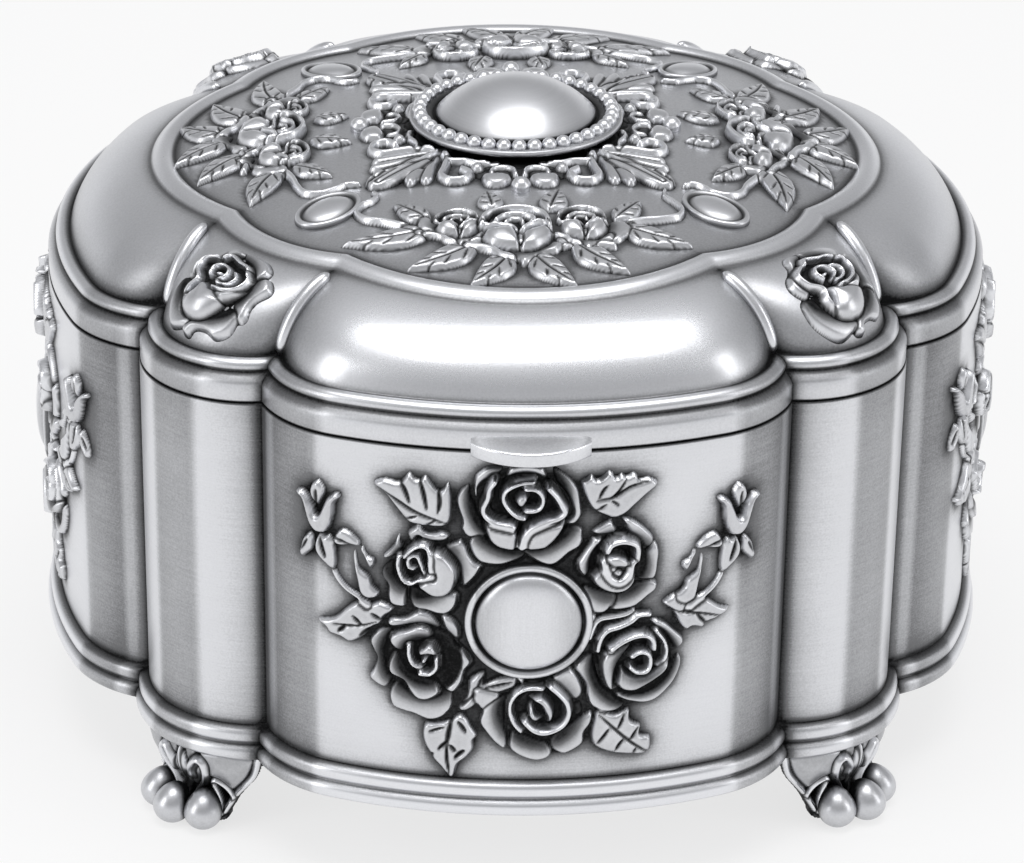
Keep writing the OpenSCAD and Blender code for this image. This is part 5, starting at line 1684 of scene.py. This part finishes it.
@dataclass
class LidShell(SubAssembly):
    """Domed lid: rim moulding, shoulder, raised ring and field, with its ribs and thumb tab."""

    marks: tuple[Canvas, ...]
    shoulder_in: float = -3.0
    shoulder_z: float = 4.75
    thickness: float = 1.6
    dome_steps: int = 30
    field_steps: int = 50
    seat_r: float = 11.5
    seat_h: float = 0.7
    hidden_tone: float = 0.5
    rib_end: Point2 = (23.4, -38.6)
    rib_steps: int = 24
    rib_tone: float = 0.12
    tab_w: float = 14.0
    tab_reach: float = 3.2

    def shoulder_ring(self, t: float, rim_d: float, ring_d: float, drop: float) -> Array:
        """Ring of points on the shoulder."""
        low, high = PLAN.ring(rim_d), RING.ring(ring_d, PLAN)
        s = shoulder(t)
        flat = low * (1 - s[0]) + high * s[0]
        top = RING.field(high[:, 0], high[:, 1])
        return np.column_stack([flat, (Z_PART + self.shoulder_z) * (1 - s[1]) + top * s[1] - drop])

    def build(self) -> list[Object]:
        """Lays the shell in one surface, and sets its ribs and its tab."""
        rows = [*self.rim(), *self.dome(), *self.raised_ring(), *self.field_rows(), *self.underside()]
        shell = draped("lid_dome", np.array([p for p, _ in rows]), np.array([v for _, v in rows]))
        return [shell, self.ribs(), self.tab()]

    def rim(self) -> list[Row]:
        """Rim moulding, dark in the grooves, with painted reflection that darkens it where it turns away
        from its side, over the columns.
        """
        near = PLAN.ways()[1]
        groove = 0.7 * np.exp(-near / 0.6) + 0.15 * np.exp(-near / 3.0)
        # Painted reflection: the rim is darker where it turns away from its side, over the columns.
        groove = groove + 0.25 * eased((PLAN.turn() - 24.0) / 8.0)
        return [(level(PLAN.ring(d), Z_PART + z), dark + groove) for d, z, dark in LID_RIM]

    def dome(self) -> list[Row]:
        """Shoulder of the dome, lighter on the columns, with a painted highlight in the middle of the front.
        """
        _, near, column = PLAN.ways()
        front = np.arange(len(near)) < 2 * PLAN.end_steps + PLAN.bow_steps
        # Painted highlight: the front panel's stretch of the shoulder is made lighter away from its ribs.
        painted_highlight = front * eased((near - 1.0) / 14.0)
        rows = []
        for t in np.linspace(0.0, 1.0, self.dome_steps, endpoint=False) ** 1.15:
            edge = 0.55 * math.exp(-t * 16) + 0.6 * math.exp(-(1 - t) * 22)
            lines = 0.75 * np.exp(-near / 1.1) * (1 - 0.35 * t)
            wide = 0.3 * math.exp(-t * 5) + 0.5 * np.exp(-near / 4.5) * (1 - 0.6 * t)
            wide = np.where(column, 0.2 + 0.4 * wide, (0.15 + wide) * (1 - 0.92 * painted_highlight))
            rows.append((self.shoulder_ring(float(t), self.shoulder_in, 0.0, 0.0), edge + lines + wide))
        return rows

    def raised_ring(self) -> list[Row]:
        """Ring round the field, polished on its crest."""
        w = RING.width
        section = [(0.0, 0.0, 0.7)]
        for k in range(1, 9):
            t = k / 9
            section.append((-w * t, 0.85 * math.sin(math.pi * t) ** 0.7, 0.08 + 0.35 * abs(2 * t - 1) ** 3))
        rows = []
        for d, lift, dark in section + [(-w, 0.02, 0.85)]:
            ring = RING.ring(d, PLAN)
            rows.append((RING.on_field(*ring.T, lift), np.full(len(ring), dark)))
        return rows

    def field_rows(self) -> list[Row]:
        """Crowned field, darkened round the relief on it, and the seat of the boss in its middle."""
        inner = RING.ring(-RING.width - 0.2, PLAN)
        unit = inner / np.hypot(*inner.T)[:, None]
        halos = [mark.halo() * 0.85 for mark in self.marks]
        rows = []
        for share in np.linspace(0.0, 1.0, self.field_steps):
            ring = inner * (1 - share) + unit * self.seat_r * share
            gap = share * 32.0
            dark = 0.3 + 0.45 * math.exp(-gap / 0.5) + 0.15 * math.exp(-gap / 3.0)
            tone = np.full(len(ring), dark)
            for quarter in range(4):
                back = turned(level(ring, 0.0), -quarter)
                for mark, halo in zip(self.marks, halos):
                    tone = np.maximum(tone, mark.sample(halo, back[:, 0], back[:, 1]))
            rows.append((RING.on_field(*ring.T, 0.0), tone))
        middle = Z_PART + RING.rise
        for r, z, dark in ((11.0, self.seat_h, 0.8), (0.0, self.seat_h, 0.8), (0.0, -self.thickness, 0.5)):
            rows.append((level(unit * r, middle + z), np.full(len(unit), dark)))
        return rows

    def underside(self) -> list[Row]:
        """Hidden inside of the shell, down to the rim."""
        wall = self.thickness
        under = RING.ring(-RING.width - 1.0, PLAN)
        rings = [RING.on_field(*under.T, -wall)]
        rings += [self.shoulder_ring(t, self.shoulder_in - wall, -wall, wall) for t in (0.8, 0.6, 0.4, 0.2)]
        edge = ((-4.6, 4.0), (-1.7, 3.0), (-1.7, 0.0), (-0.35, 0.0))
        rings += [level(PLAN.ring(d), Z_PART + z) for d, z in edge]
        return [(ring, np.full(len(ring), self.hidden_tone)) for ring in rings]

    def rib_path(self) -> Array:
        """Line of the right-hand rib of the front panel, from the rim to the raised ring."""
        low, high = PLAN.groove(self.shoulder_in), np.array(self.rib_end)
        path = []
        for t in np.linspace(0.0, 1.0, self.rib_steps):
            s = shoulder(float(t))
            flat = low * (1 - s[0]) + high * s[0]
            top = RING.field(high[0], high[1]) + 0.15
            path.append([*flat, (Z_PART + self.shoulder_z) * (1 - s[1]) + top * s[1]])
        return np.array(path)

    def ribs(self) -> Object:
        """The eight ribs."""
        path = self.rib_path()
        share = np.linspace(0, 1, len(path))
        radii = (1.0 - 0.25 * share) * np.sqrt(np.clip(1 - np.abs(2 * share - 1) ** 9, 0.05, 1))
        pieces = []
        for side in (1, -1):
            points = tube_points(path * (side, 1, 1), radii, 20)
            pieces += [draped("rib", turned(points, k), self.rib_tone) for k in range(4)]
        return joined("lid_ribs", pieces)

    def tab(self) -> Object:
        """Crescent thumb tab on the front of the rim."""
        half, reach = self.tab_w / 2, self.tab_reach
        r = (half * half + reach * reach) / (2 * reach)
        x = half * np.sin(np.linspace(-math.pi / 2, math.pi / 2, 49))
        back = PLAN.panel_c[1] - np.sqrt((PLAN.panel_r - 0.9) ** 2 - x * x)
        front = -(PLAN.half_width + reach) + r - np.sqrt(np.maximum(r * r - x * x, 0))
        front = np.minimum(front, back - 0.02)
        rows = []
        for depth, z, _ in TAB_SECTION:
            rows.append(np.stack([x, back + (front - back) * depth, np.full(len(x), Z_PART + z)], axis=-1))
        points = np.array(rows)
        ends = [np.repeat(points[:, k].mean(axis=0)[None, None], len(rows), axis=0) for k in (0, -1)]
        points = np.concatenate([ends[0], points, ends[1]], axis=1)
        tone = np.array([dark for _, _, dark in TAB_SECTION])
        return draped("thumb_tab", points, np.repeat(tone[:, None], points.shape[1], axis=1))

    def seats(self) -> list[Seat]:
        """Seats of the shell, the ribs and the tab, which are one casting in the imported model."""
        return [Seat(Look.LID, Body.LID, node) for node in ("lid_shell", None, None)]


@dataclass
class Garlands(Quartet):
    """Garland of three roses on each side of the lid's field."""

    stem = "cast_garland"
    node = "garland"
    body = Body.LID
    step: float = 0.16
    back: float = -0.7

    def __post_init__(self) -> None:
        """Paints the front garland, which also darkens the field round it."""
        hooks = (
            ((-9.5, -30.6), (-12.0, -30.9), (-14.4, -29.5), (-16.8, -28.1), (-19.0, -27.2), (-20.2, -25.5),
                (-19.7, -23.7), (-18.4, -22.6), (-17.7, -21.3), (-18.2, -20.2)),
            ((9.5, -30.2), (11.5, -29.6), (14.2, -28.3), (16.8, -27.6), (18.9, -26.6), (19.5, -24.7),
                (18.6, -22.9), (17.6, -21.5), (17.7, -19.9)),
        )
        pieces: list[Piece] = [Lip(path, 1.5, 1.0, 0.6) for path in hooks]
        leaves = (
            ((-10.5, -30.6), (-22.4, -32.6), 4.4, 0.06), ((11.5, -29.8), (20.6, -33.4), 4.4, -0.06),
            ((-11.2, -28.4), (-16.0, -23.6), 3.6, 0.0), ((11.0, -28.4), (14.8, -23.0), 3.6, 0.0),
            ((-5.4, -34.0), (-14.5, -39.3), 4.6, 0.06), ((5.6, -34.0), (12.6, -40.3), 4.6, -0.06),
            ((-1.6, -36.4), (-7.0, -43.4), 4.6, 0.06), ((0.6, -36.4), (6.2, -43.6), 4.6, -0.06),
            ((-3.6, -26.0), (-4.4, -21.0), 3.6, 0.0), ((3.2, -26.4), (4.8, -20.6), 3.9, 0.0),
        )
        for base, tip, width, bend in leaves:
            pieces += leaf(base, tip, width, bend)
        left, right = (-8.0, -30.2), (7.5, -30.2)
        pieces += [
            Petal(((10.0, -29.2), (11.9, -28.7), (12.9, -30.3), (12.1, -32.7), (10.6, -33.6), (9.2, -32.4)),
                0.9, 0.5, heart=right),
            Petal(((-10.4, -28.6), (-12.0, -27.7), (-13.0, -28.9), (-12.5, -30.4), (-10.8, -31.6),
                (-9.8, -30.8)), 0.9, 0.5, heart=left),
            Lip(((-12.6, -31.4), (-11.0, -31.8), (-9.4, -32.6), (-8.0, -33.8), (-6.6, -33.4), (-5.3, -32.9)),
                1.3, 0.9),
            Lip(((4.2, -34.9), (6.2, -33.8), (8.2, -33.9), (10.6, -34.4)), 1.4, 0.9),
            Petal(((3.5, -32.0), (5.1, -31.4), (5.9, -32.6), (5.1, -34.4), (3.7, -33.6)),
                0.9, 0.3, heart=(0.0, -31.0)),
            *placed(cupped_rose(), -8.2, -28.4, 0.64, 0.66, 0.95),
            *placed(cupped_rose(), 6.9, -28.3, 0.7, 0.76, 0.97),
            *placed(cupped_rose(), -1.2, -29.7, 1.0, 1.0),
        ]
        self.canvas = Canvas((-26.0, -47.0), (24.5, -16.0), self.step)
        paint_all(self.canvas, pieces)

    def first(self, name: str) -> Object:
        """Casts the front garland."""
        return self.canvas.cast(name, RING.on_field, self.back)


@dataclass
class CornerRoses(Quartet):
    """Full rose between the two ribs of each corner of the lid."""

    stem = "cast_corner_rose"
    node = "corner_rose"
    places = CORNERS
    body = Body.LID
    lid: LidShell
    step: float = 0.14
    reach: float = 52.6
    lift: float = 10.9
    slope: float = 38.0
    back: float = -0.75

    def axes(self) -> tuple[Array, Array, Array, Array]:
        """Origin and axes of the front right corner: across, up the slope and outwards."""
        s = math.radians(self.slope)
        out = np.array([math.sqrt(0.5), -math.sqrt(0.5), 0.0])
        across = np.array([math.sqrt(0.5), math.sqrt(0.5), 0.0])
        normal = out * math.sin(s) + np.array([0, 0, 1.0]) * math.cos(s)
        up = np.cross(normal, across)
        origin = out * self.reach + np.array([0, 0, Z_PART + self.lift])
        return origin, across, up, normal

    def surface(self) -> Callable[[Array, Array], Array]:
        """Height of the dome under the rose, fitted over the corner of the shell."""
        origin, across, up, normal = self.axes()
        start = PLAN.bow_steps + 2 * PLAN.end_steps
        shares, edge = np.linspace(0, 1, 16), self.lid.shoulder_in
        rows = [self.lid.shoulder_ring(t, edge, 0.0, 0.0)[start : start + PLAN.column_steps] for t in shares]
        local = np.vstack(rows) - origin
        u, v, w = local @ across, local @ up, local @ normal
        powers = [(i, j) for i in range(5) for j in range(5 - i)]
        terms = np.stack([u**i * v**j for i, j in powers], axis=-1)
        fit = np.linalg.lstsq(terms, w, rcond=None)[0]
        return lambda a, b: sum(k * a**i * b**j for k, (i, j) in zip(fit, powers))

    def first(self, name: str) -> Object:
        """Paints and casts the front right rose."""
        canvas = Canvas((-7.6, -7.6), (7.6, 7.6), self.step)
        ground = Petal(oval(0.4, 0.0, 5.6, 5.4), 0.2, tone=0.93)
        paint_all(canvas, [ground, *placed(ruffled_rose(), -1.0, 0.0, 1.0, 1.0)])
        origin, across, up, normal = self.axes()
        dome = self.surface()

        def place(u: Array, v: Array, h: Array) -> Array:
            """Point above the dome."""
            w = dome(u, v) + h
            return origin + u[..., None] * across + v[..., None] * up + w[..., None] * normal

        return canvas.cast(name, place, self.back)


# Share of the way out, height and patina of each point of an oval stud's section.
STUD_SECTION = (
    (1.0, -0.6, 0.9), (1.0, 0.35, 0.5), (0.985, 0.6, 0.2), (0.94, 0.74, 0.08), (0.87, 0.7, 0.3),
    (0.82, 0.45, 0.8), (0.78, 0.34, 0.95), (0.72, 0.5, 0.5), (0.62, 0.76, 0.22), (0.45, 0.98, 0.18),
    (0.25, 1.08, 0.18), (0.0, 1.12, 0.18), (0.0, -0.6, 0.9), (1.0, -0.6, 0.9),
)


@dataclass
class OvalStuds(Quartet):
    """Oval stud with a raised rim on each diagonal of the field."""

    stem = "oval_cabochon"
    node = "oval_stud"
    places = CORNERS
    body = Body.LID
    look = Look.CROWN
    at: float = 23.7
    half: Point2 = (4.75, 3.3)
    round_steps: int = 64

    def first(self, name: str) -> Object:
        """Lays the front right stud."""
        a = np.linspace(0, math.tau, self.round_steps + 1)
        a[-1] = 0.0
        rows = []
        for share, h, _ in STUD_SECTION:
            u, v = self.half[0] * share * np.cos(a), self.half[1] * share * np.sin(a)
            x, y = self.at + (u + v) * math.sqrt(0.5), -self.at + (v - u) * math.sqrt(0.5)
            rows.append(RING.on_field(x, y, h))
        tone = np.array([dark for _, _, dark in STUD_SECTION])
        return draped(name, np.array(rows), np.repeat(tone[:, None], len(a), axis=1))


@dataclass
class Acanthus(SubAssembly):
    """Square of acanthus leaves and scrolls round the boss."""

    step: float = 0.17
    back: float = -0.7
    hole_r: float = 11.6
    seat_r: float = 14.2
    seat_h: float = 0.45
    bead_r: float = 1.25
    bead_reach: float = 19.9
    bead_tone: float = 0.14

    def __post_init__(self) -> None:
        """Paints the square side by side, with a flat seat for the boss, which also darkens the field."""
        pieces: list[Piece] = [Petal(oval(0.0, 0.0, 14.6, 14.6), 0.2, tone=0.93)]
        side = acanthus_side()
        for _ in SIDES:
            pieces += side
            side = [replace(piece, points=tuple((-y, x) for x, y in piece.points)) for piece in side]
        canvas = Canvas((-27.0, -27.0), (27.0, 27.0), self.step)
        paint_all(canvas, pieces)
        out = np.hypot(canvas.x, canvas.y)
        canvas.height = np.where(out < self.hole_r, GROUND, canvas.height)
        canvas.height = np.minimum(canvas.height, np.where(out < self.seat_r, self.seat_h, np.inf))
        self.canvas = canvas

    def build(self) -> list[Object]:
        """Casts the square and its four beads."""
        mount = self.canvas.cast("cast_acanthus", RING.on_field, self.back)
        r, turns = self.bead_reach, (0, math.pi / 2, math.pi, 3 * math.pi / 2)
        centres = [(r * math.sin(a), -r * math.cos(a)) for a in turns]
        centres = [(x, y, float(RING.field(x, y)) + 0.35) for x, y in centres]
        return [mount, balls("acanthus_beads", centres, self.bead_r, self.bead_tone)]

    def seats(self) -> list[Seat]:
        """Seats of the square and of its beads."""
        return [Seat(Look.RELIEF, Body.LID, "acanthus_mount"), Seat(Look.RELIEF, Body.LID)]


@dataclass
class Boss(SubAssembly):
    """Beaded plate with the smooth boss on it."""

    plate_r: float = 13.6
    plate_h: float = 0.8
    dome_r: float = 10.3
    dome_h: float = 4.6
    beads: int = 40
    bead_r: float = 0.98
    bead_tone: float = 0.12
    pad: float = 0.7
    dome_steps: int = 24
    round_steps: int = 128

    def build(self) -> list[Object]:
        """Turns the plate and the boss, and sets the beads."""
        z = Z_PART + RING.rise + self.pad
        r = self.plate_r
        profile = [(0, z), (r - 0.15, z), (r, z + 0.2), (r, z + 0.6), (r - 0.2, z + 0.8), (r - 2.9, z + 0.8)]
        profile += [(r - 3.0, z + 0.6), (r - 3.3, z + 0.6), (0, z + 0.6), (0, z)]
        plate = lathe("turned_plate", profile, self.round_steps, [1, 0.9, 0.5, 0.25, 0.4, 0.9, 1, 1, 1, 1])
        turns, reach = np.arange(self.beads) * math.tau / self.beads, r - 1.35
        ring = [(math.cos(a) * reach, math.sin(a) * reach, z + 1.0) for a in turns]
        beads = balls("boss_beads", ring, self.bead_r, self.bead_tone)
        return [plate, beads, self.dome(z + self.plate_h)]

    def dome(self, top: float) -> Object:
        """Turns the boss, on a plate whose top is at a height."""
        cap = (self.dome_r**2 + self.dome_h**2) / (2 * self.dome_h)
        low = math.asin(self.dome_r / cap)
        profile = [(0.0, top - 0.2), (self.dome_r - 0.35, top - 0.2), (self.dome_r - 0.05, top + 0.05)]
        dark = [1, 1, 0.9]
        for k in range(1, self.dome_steps + 1):
            a = low * (1 - k / self.dome_steps)
            profile.append((cap * math.sin(a), top + self.dome_h - cap * (1 - math.cos(a))))
            dark.append(0.16 + 0.55 * math.exp(-k / 1.4))
        profile.append((0.0, top - 0.2))
        return lathe("turned_boss", profile, self.round_steps, dark + [1])

    def seats(self) -> list[Seat]:
        """Seats of the plate, its beads and the boss."""
        looks = ((Look.LID, "boss_plate"), (Look.RELIEF, None), (Look.CROWN, "boss_dome"))
        return [Seat(look, Body.LID, node) for look, node in looks]


# ---------------------------------------------------------------- inside and fixings


@dataclass
class VelvetWork(SubAssembly):
    """Velvet on the floor, the walls and inside the lid."""

    floor_z: float = FOOT_H + 6.0
    lid_z: float = Z_PART + 2.9
    lining_low: float = FOOT_H + 6.3
    lining_high: float = Z_PART - 0.85
    fill: float = 0.6

    def build(self) -> list[Object]:
        """Lays the floor cushion, the lid cushion and the wall lining."""
        sides = [(-3.5, 0.25), (-3.25, 0.9), (-3.6, 1.6), (-4.6, 2.3)]
        floor = self.pad("velvet_floor", self.floor_z, 1.0, sides, 3.4)
        sides = [(-2.6, 0.1), (-2.5, 0.7), (-3.2, 1.3), (-4.4, 1.7)]
        lid = self.pad("velvet_lid", self.lid_z, -1.0, sides, 2.5)
        low, high = self.lining_low, self.lining_high
        section = [(-1.68, low), (-1.68, high - 0.2), (-1.8, high), (-2.2, high), (-2.75, high - 0.4)]
        section += [(-2.78, low + 0.3), (-2.6, low), (-1.68, low)]
        lining = draped("velvet_lining", np.array([level(PLAN.ring(d), z) for d, z in section]))
        return [floor, lid, lining]

    def pad(self, name: str, z: float, way: float, sides: list[Point2], crown: float) -> Object:
        """Crowned pad that fills the outline.

        Args:
            name: Name of the piece.
            z: Height of its flat back.
            way: 1 for a pad that rises and -1 for one that hangs.
            sides: Offset and height of each level of its edge.
            crown: Height of its middle.

        Returns:
            The pad.
        """
        rows = [level(PLAN.ring(d), z + way * h) for d, h in sides]
        rim, edge_h = PLAN.ring(sides[-1][0]), sides[-1][1]
        for t in np.linspace(0, 1, 15)[1:]:
            rise = edge_h + (crown - edge_h) * math.sin(math.pi / 2 * min(t * 1.6, 1.0))
            tuck = 0.35 * math.exp(-(((t - 0.24) / 0.035) ** 2))
            rows.append(level(rim * (1 - t), z + way * (rise - tuck)))
        rows += [level(rim * 0, z), level(PLAN.ring(sides[0][0]), z), rows[0]]
        return draped(name, np.array(rows))

    def seats(self) -> list[Seat]:
        """Seats of the floor cushion, the lid cushion and the lining."""
        places = ((Body.BOX, "floor_cushion"), (Body.LID, "lid_cushion"), (Body.BOX, "body_lining"))
        return [Seat(Look.VELVET, body, node) for body, node in places]

    def dress(self, pieces: list[Object], palette: Palette) -> None:
        """Gives the velvet its finish and its place."""
        super().dress(pieces, palette)


@dataclass
class Fixings:
    """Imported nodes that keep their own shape: hinge, screws, nut and floor plate."""

    dark: tuple[str, ...] = ("floor_plate", "hinge_lug_left", "hinge_lug_right", "hinge_lid_bracket")
    steel: tuple[str, ...] = ("foot_screws", "hinge_lug_rivets", "hinge_lid_rivets", "hinge_pin", "boss_nut")

    def dress(self, palette: Palette) -> None:
        """Gives each node its finish."""
        for names, look in ((self.dark, Look.HIDDEN), (self.steel, Look.FIXING)):
            for name in names:
                palette.dress_node(name, look)


# ---------------------------------------------------------------- studio


@dataclass
class Studio:
    """Pale floor, soft overhead light and the camera."""

    lens: float = 140.498
    shift: Point2 = (0.1117, -0.0075)
    distance: float = 527.5
    elevation: float = math.radians(25.882)
    yaw: float = math.radians(-0.3926)
    aim: Point2 = (-15.041, 34.051)
    paper: Point3 = (0.86, 0.86, 0.86)
    glow: float = 0.72
    lit: Point3 = (0.0, 0.0, 0.05)
    lamps: tuple[tuple[str, Point3, Point2, float], ...] = (
        ("soft_top", (0.02, -0.12, 1.0), (0.75, 0.5), 4.0),
        ("soft_left", (-0.95, -0.5, 0.55), (0.4, 0.8), 2.6),
        ("soft_right", (1.0, -0.35, 0.5), (0.3, 0.8), 1.6),
    )
    room: tuple[Point2, ...] = ((0.0, 0.95), (0.12, 0.85), (0.42, 0.42), (0.7, 0.5), (1.0, 0.72))

    def build(self) -> None:
        """Lays the floor, and sets the lights, the world and the camera."""
        self.floor()
        for lamp in self.lamps:
            self.softbox(*lamp)
        self.world()
        self.camera()

    def floor(self) -> None:
        """Wide pale floor that keeps the box's shadow."""
        bm = bmesh.new()
        bmesh.ops.create_grid(bm, x_segments=2, y_segments=2, size=3.0)
        floor = piece_of("studio_floor", bm)
        made, graph, paper = new_finish("studio_paper")
        graph.feed(paper, {"Base Color": (*self.paper, 1.0), "Roughness": 0.9})
        glow = graph.add("Emission", {"Color": (1.0, 1.0, 1.0, 1.0), "Strength": 1.0})
        share = graph.worked("MULTIPLY", graph.background_rays(), self.glow)
        mix = graph.add("MixShader", {0: share, 1: paper.outputs[0], 2: glow.outputs[0]})
        graph.feed(made.node_tree.nodes["Material Output"], {"Surface": mix.outputs[0]})
        floor.data.materials.append(made)

    def softbox(self, name: str, at: Point3, size: Point2, watts: float) -> None:
        """Adds an area lamp that points at the middle of the box.

        Args:
            name: Name of the lamp.
            at: Where it hangs, in metres.
            size: Its width and height, in metres.
            watts: Its power.
        """
        lamp = bpy.data.lights.new(name, "AREA")
        lamp.shape = "RECTANGLE"
        lamp.size, lamp.size_y = size
        lamp.energy = watts
        holder = bpy.data.objects.new(name, lamp)
        holder.location = at
        holder.rotation_euler = (Vector(self.lit) - Vector(at)).to_track_quat("-Z", "Y").to_euler()
        bpy.context.scene.collection.objects.link(holder)

    def world(self) -> None:
        """Grey room: pale at the horizon, darker above it, and paler again overhead."""
        world = bpy.data.worlds.new("studio_room")
        bpy.context.scene.world = world
        world.use_nodes = True
        graph = Graph(world.node_tree)
        way = graph.add("TexCoord").outputs["Generated"]
        up = graph.add("SeparateXYZ", {0: way}).outputs["Z"]
        colour = graph.greys(up, self.room, ROOM_TINT)
        graph.feed(world.node_tree.nodes["Background"], {"Color": colour})

    def camera(self) -> None:
        """Sets the camera at the photograph's viewing angle."""
        el, yaw = self.elevation, self.yaw
        back = Vector((math.sin(yaw) * math.cos(el), -math.cos(yaw) * math.cos(el), math.sin(el)))
        right = Vector((math.cos(yaw), math.sin(yaw), 0.0))
        up = back.cross(right)
        eye = bpy.data.cameras.new("studio_camera")
        eye.lens, eye.sensor_width = self.lens, 36.0
        eye.shift_x, eye.shift_y = self.shift
        eye.clip_start, eye.clip_end = 0.01, 20.0
        holder = bpy.data.objects.new("studio_camera", eye)
        target = right * self.aim[0] + Vector((0, 0, self.aim[1]))
        turn = Matrix((right, up, back)).transposed().to_4x4()
        holder.matrix_world = Matrix.Translation((target + back * self.distance) * MM) @ turn
        bpy.context.scene.collection.objects.link(holder)
        bpy.context.scene.camera = holder
        bpy.context.scene.view_settings.view_transform = "Standard"


# ---------------------------------------------------------------- making


def report(what: str, pieces: list[Object]) -> None:
    """Logs the pieces of one sub-assembly with their sizes."""
    for piece in pieces:
        log.info("%s: %s, %d faces", what, piece.name, len(piece.data.polygons))


def main() -> None:
    """Builds the box from the body up, then the studio."""
    logging.basicConfig(level=logging.INFO, format="%(message)s")
    palette = Palette()
    sprays, garlands, acanthus = RoseSprays(), Garlands(), Acanthus()
    lid = LidShell((garlands.canvas, acanthus.canvas))
    body = (sprays, Cabochons(), BodyWall(sprays.canvas))
    top = (garlands, acanthus, lid, CornerRoses(lid), Feet(), OvalStuds(), Boss(), VelvetWork())
    for part in (*body, *top):
        pieces = part.build()
        part.dress(pieces, palette)
        report(type(part).__name__, pieces)
    Fixings().dress(palette)
    Studio().build()


if __name__ == "__main__":
    main()
